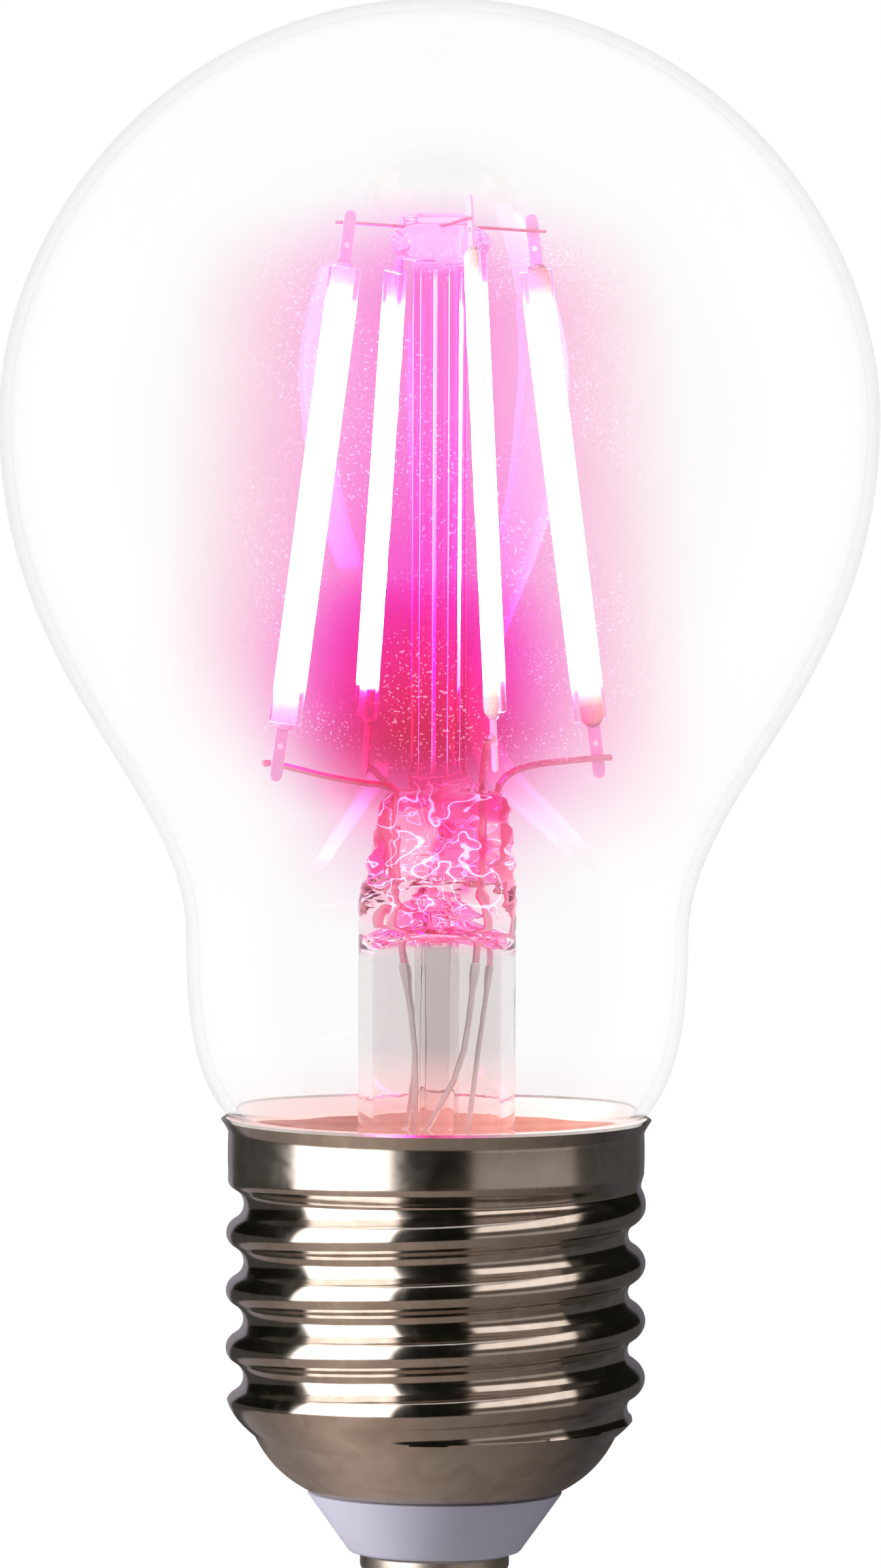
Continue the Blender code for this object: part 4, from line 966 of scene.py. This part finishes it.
# the inside, up to the lip, is unpolished sheet in a pale colour with painted light: its emission
# brightens it
shellPiece.materials.append(matteFinish(
    "shell_inside_painted_light", (0.88, 0.80, 0.76), (0.94, 0.88, 0.84), 0.6, (300.0, 0.000004), 0.1,
    Emission_Color=(1.0, 0.92, 0.88), Emission_Strength=0.6))
innerFaces = len(shellPiece.polygons) // 2 + 2 * shellSettings["steps"]
for face in shellPiece.polygons[innerFaces : -2 * shellSettings["steps"]]:
    face.material_index = 1
print("shell made")


# Insulator and centre contact
def insulatorOutline():
    corners = [(1.65, 6.6), (7.9, 6.6), (8.2, 6.35), (8.25, 5.75), (7.5, 5.3), (7.5, 5.07),
               (7.86, 5.06), (8.0, 5.0), (7.98, 4.9), (5.62, 1.6), (5.5, 1.42), (5.35, 1.28),
               (5.1, 1.21), (4.9, 1.2), (1.65, 1.2)]
    return [(r * mm, h * mm) for r, h in corners]


def contactOutline():
    outline = [(0.0, 1.15), (0.3, 1.15), (0.3, 7.4), (1.6, 7.4), (1.6, 1.15), (4.6, 1.15), (4.68, 1.08),
               (4.7, 0.98)]
    for i in range(9):
        turn = math.pi / 2 * i / 8
        outline.append((4.2 + 0.5 * math.cos(turn), 0.5 - 0.5 * math.sin(turn)))
    outline += [(2.1, 0.0), (1.85, 0.03), (1.7, 0.12), (1.5, 0.16), (0.0, 0.10)]
    return [(r * mm, h * mm) for r, h in outline]


insulatorFinish = matteFinish("moulded_insulator", (0.56, 0.54, 0.67), (0.60, 0.58, 0.71), 0.38,
                              (260.0, 0.000004))
addPiece("insulatorCone", lathe("insulatorCone", insulatorOutline(), 128, ring=True), insulatorFinish,
         ("cap_insulator",), 35)
addPiece("contactDisc", lathe("contactDisc", contactOutline(), 96), nickel,
         ("centre_contact",), 40)


# Finishes of the parts that keep their CAD shape
def numbered(*names):
    return [f"{name}_{number}" for name in names for number in (1, 2, 3, 4)]


carriedOver = (
    # painted pink light: the tabs are coloured pink and glow by emission, as if lit by the filaments
    (matteFinish("plated_strip_painted_pink_light", (0.86, 0.52, 0.74), (0.95, 0.66, 0.86), 0.34, (300.0, 0.000001), 0.3,
                 Emission_Color=(1.0, 0.45, 0.80), Emission_Strength=0.22),
     numbered("filament_tab_top", "filament_tab_bottom")),
    # reddish copper-clad wire, with the pink light of the filaments painted into its colour and a
    # painted glow
    (matteFinish("drawn_wire_painted_pink_light", (0.78, 0.36, 0.45), (0.90, 0.50, 0.57), 0.30, (600.0, 0.000001), 1.0,
                 Emission_Color=(1.0, 0.22, 0.50), Emission_Strength=0.10),
     ["support_wire_left", "support_wire_right", *numbered("lead_inner"), "resistor_lead",
      "contact_lead", "shell_lead"]),
    (matteFinish("oxidised_copper", (0.78, 0.68, 0.67), (0.88, 0.80, 0.79), 0.36,
                 (900.0, 0.000002), 1.0), numbered("lead_outer")),
    # cement, coloured salmon-red by painted light of the filaments, with a painted glow
    (matteFinish("cement_painted_orange_light", (0.78, 0.32, 0.22), (0.88, 0.42, 0.30), 0.92, (500.0, 0.00006),
                 Emission_Color=(1.0, 0.36, 0.26), Emission_Strength=0.22), ["base_cement"]),
    (matteFinish("board_laminate", (0.03, 0.16, 0.07), (0.06, 0.25, 0.12), 0.42, (800.0, 0.000004)),
     ["driver_board"]),
    (matteFinish("black_moulding", (0.015, 0.015, 0.016), (0.04, 0.04, 0.042), 0.5,
                 (900.0, 0.000006)), ["bridge_rectifier", "driver_chip", "bulk_capacitor"]),
    (matteFinish("resistor_enamel", (0.20, 0.42, 0.50), (0.30, 0.54, 0.62), 0.35,
                 (500.0, 0.000008)), ["fusible_resistor"]),
)
for finish, names in carriedOver:
    for name in names:
        dress(nodes[name].data, finish, 45)
print("carried over parts finished")


# Floor, surroundings and lamps
stageSettings = {
    "floorHeight": -0.12, "floorSize": 6.0, "shadowFade": (0.2, 0.55), "shadowShare": 0.90,
    "tentRadius": 0.5, "tentHeight": 0.03, "tentSoftness": 1.5, "tentHeightSoftness": 0.04,
    "glassFade": (-0.45, 0.15), "glassFront": (0.10, 0.09, 0.10), "glassBack": (1.0, 0.99, 0.99),
    "world": 0.22, "lampSize": 0.5, "lampAim": (0, 0, 0.04),
}


def floorMaterial(s):
    f = Finish("pale_floor", (0.86, 0.86, 0.86), 0.9)
    tree = f.tree
    clouds = f.group(mottle, Scale=6.0, Fine_Scale=90.0)["Clouds"]
    f.tones(clouds, (0.85, 0.85, 0.85), (0.87, 0.87, 0.87))
    white = newNode(tree, "Emission")
    seen = straightRays(tree, newNode(tree, "LightPath"))
    # shadows show near the bulb, and the floor turns plain white further out
    length = newNode(tree, "VectorMath", placeIn(tree)[0], operation="LENGTH")
    far = fadeNode(tree, length.outputs["Value"], s["shadowFade"])
    share = productNode(tree, seen, rangeNode(tree, far, To_Min=s["shadowShare"], To_Max=1.0))
    shaderNode(tree, "Mix", share, f.shader.outputs[0], white.outputs[0],
               target=f.output.inputs["Surface"])
    return f.material


floorMesh = bpy.data.meshes.new("floor")
half = stageSettings["floorSize"] / 2
floorMesh.from_pydata([(-half, -half, 0), (half, -half, 0), (half, half, 0), (-half, half, 0)], [],
                      [(0, 1, 2, 3)])
floorMesh.materials.append(floorMaterial(stageSettings))
floor = addObject("floor", floorMesh)
floor.location.z = stageSettings["floorHeight"]
floor.visible_glossy = False

# What the cap mirrors. Angles are degrees left (-) or right (+) of the front, for an upright wall
# that would mirror the place; heights are sines, from straight down (-1) to straight up (1).
capTable = (
    (0.0, (0.34, 0.32, 0.36)), (0.12, (0.30, 0.27, 0.29)), (0.22, (0.22, 0.18, 0.16)),
    (0.36, (0.52, 0.41, 0.34)), (0.50, (0.25, 0.20, 0.165)), (0.64, (0.17, 0.14, 0.12)),
    (0.78, (0.05, 0.045, 0.045)), (0.90, (0.10, 0.10, 0.11)), (1.0, (0.40, 0.39, 0.44)),
)
capPatches = (
    # from and to in degrees, lowest and highest, colour
    (-181.0, -150.0, -0.3, 1.1, (0.30, 0.28, 0.32)),
    (-150.0, -84.0, -0.35, 1.1, (0.006, 0.006, 0.004)),
    (-150.0, -84.0, -0.37, 0.0, (0.06, 0.056, 0.05)),
    (-84.0, -24.0, -0.3, 1.1, (2.6, 2.5, 2.4)),
    (-24.0, 20.0, -0.35, 1.1, (0.006, 0.006, 0.004)),
    (20.0, 82.0, -0.3, 1.1, (0.42, 0.36, 0.32)),
    (20.0, 82.0, -0.02, 0.34, (0.12, 0.10, 0.085)),
    (20.0, 82.0, 0.42, 0.88, (1.25, 1.12, 1.02)),
    (82.0, 152.0, -0.35, 1.1, (0.008, 0.008, 0.006)),
    (82.0, 152.0, -0.37, 0.0, (0.08, 0.076, 0.07)),
    (152.0, 181.0, -0.35, 1.1, (0.14, 0.135, 0.155)),
)


def capSurroundings(tree, s, across, deep, height):
    turn = mathNode(tree, "ARCTAN2", across, mathNode(tree, "SUBTRACT", 1.0, deep))
    angle = productNode(tree, turn, 360 / math.pi)
    share = mathNode(tree, "ADD", mathNode(tree, "DIVIDE", angle, 360.0), 0.5)
    colour = rampNode(tree, share, capTable)
    side, tall = s["tentSoftness"], s["tentHeightSoftness"]
    for start, end, low, high, shade in capPatches:
        inside = productNode(tree, fadeNode(tree, angle, (start - side, start + side)),
                             fadeNode(tree, angle, (end + side, end - side)),
                             fadeNode(tree, height, (low - tall, low + tall)),
                             fadeNode(tree, height, (high + tall, high - tall)))
        colour = mixNode(tree, inside, colour, shade)
    return colour


def glassSurroundings(tree, s, _, deep, height):
    # white behind, which lights the edges of the glass, and dim in front, which keeps its colours full
    share = fadeNode(tree, deep, s["glassFade"])
    return rampNode(tree, share, ((0.0, s["glassFront"]), (1.0, s["glassBack"])))


def tentMaterial(s, name, colourAt):
    material = bpy.data.materials.new(name)
    material.use_nodes = True
    tree = material.node_tree
    tree.nodes.remove(tree.nodes["Principled BSDF"])
    light = newNode(tree, "Emission", colourAt(tree, s, *placeIn(tree)[1:]))
    clear = newNode(tree, "BsdfTransparent")
    shaderNode(tree, "Add", light.outputs[0], clear.outputs[0],
               target=tree.nodes["Material Output"].inputs["Surface"])
    return material


def makeTent(s, name, radius, colourAt, receivers):
    work = bmesh.new()
    bmesh.ops.create_uvsphere(work, u_segments=48, v_segments=24, radius=1.0)
    mesh = meshFrom(work, name, outwards=False)
    mesh.shade_smooth()
    mesh.materials.append(tentMaterial(s, name, colourAt))
    tent = addObject(name, mesh)
    tent.scale = (radius,) * 3
    tent.location.z = s["tentHeight"]
    for label in ("camera", "diffuse", "transmission", "volume_scatter", "shadow"):
        setattr(tent, "visible_" + label, False)
    tent.light_linking.receiver_collection = receivers


capPieces = ["screwShell", "contactDisc", "insulatorCone"]
capReceivers = bpy.data.collections.new("capReceivers")
glassReceivers = bpy.data.collections.new("glassReceivers")
for item in scene.objects:
    if item.type == "MESH" and item is not floor:
        (capReceivers if item.name in capPieces else glassReceivers).objects.link(item)
tentRadius = stageSettings["tentRadius"]
makeTent(stageSettings, "capTent", tentRadius, capSurroundings, capReceivers)
makeTent(stageSettings, "glassTent", tentRadius * 1.05, glassSurroundings, glassReceivers)


def addLamp(s, name, place, power):
    data = bpy.data.lights.new(name, "AREA")
    data.shape = "DISK"
    data.size = s["lampSize"]
    data.energy = power
    lamp = addObject(name, data)
    lamp.location = place
    lamp.rotation_mode = "QUATERNION"
    lamp.rotation_quaternion = (Vector(s["lampAim"]) - Vector(place)).to_track_quat("-Z", "Y")
    lamp.visible_glossy = False
    lamp.visible_transmission = False


addLamp(stageSettings, "keyLamp", (-0.95, -0.22, 0.22), 10.0)
addLamp(stageSettings, "fillLamp", (0.9, -0.4, 0.3), 0.15)


def makeWorld(level):
    world = bpy.data.worlds.new("studio")
    scene.world = world
    world.use_nodes = True
    tree = world.node_tree
    path = newNode(tree, "LightPath")
    # plain white behind the bulb and through its glass; the tents stand in for it in reflections
    lit = productNode(tree, path.outputs["Is Diffuse Ray"], level)
    feedAll(tree, tree.nodes["Background"], Color=(1, 1, 1),
            Strength=mathNode(tree, "ADD", straightRays(tree, path), lit))


makeWorld(stageSettings["world"])
scene.view_settings.view_transform = "Standard"
print("stage made")
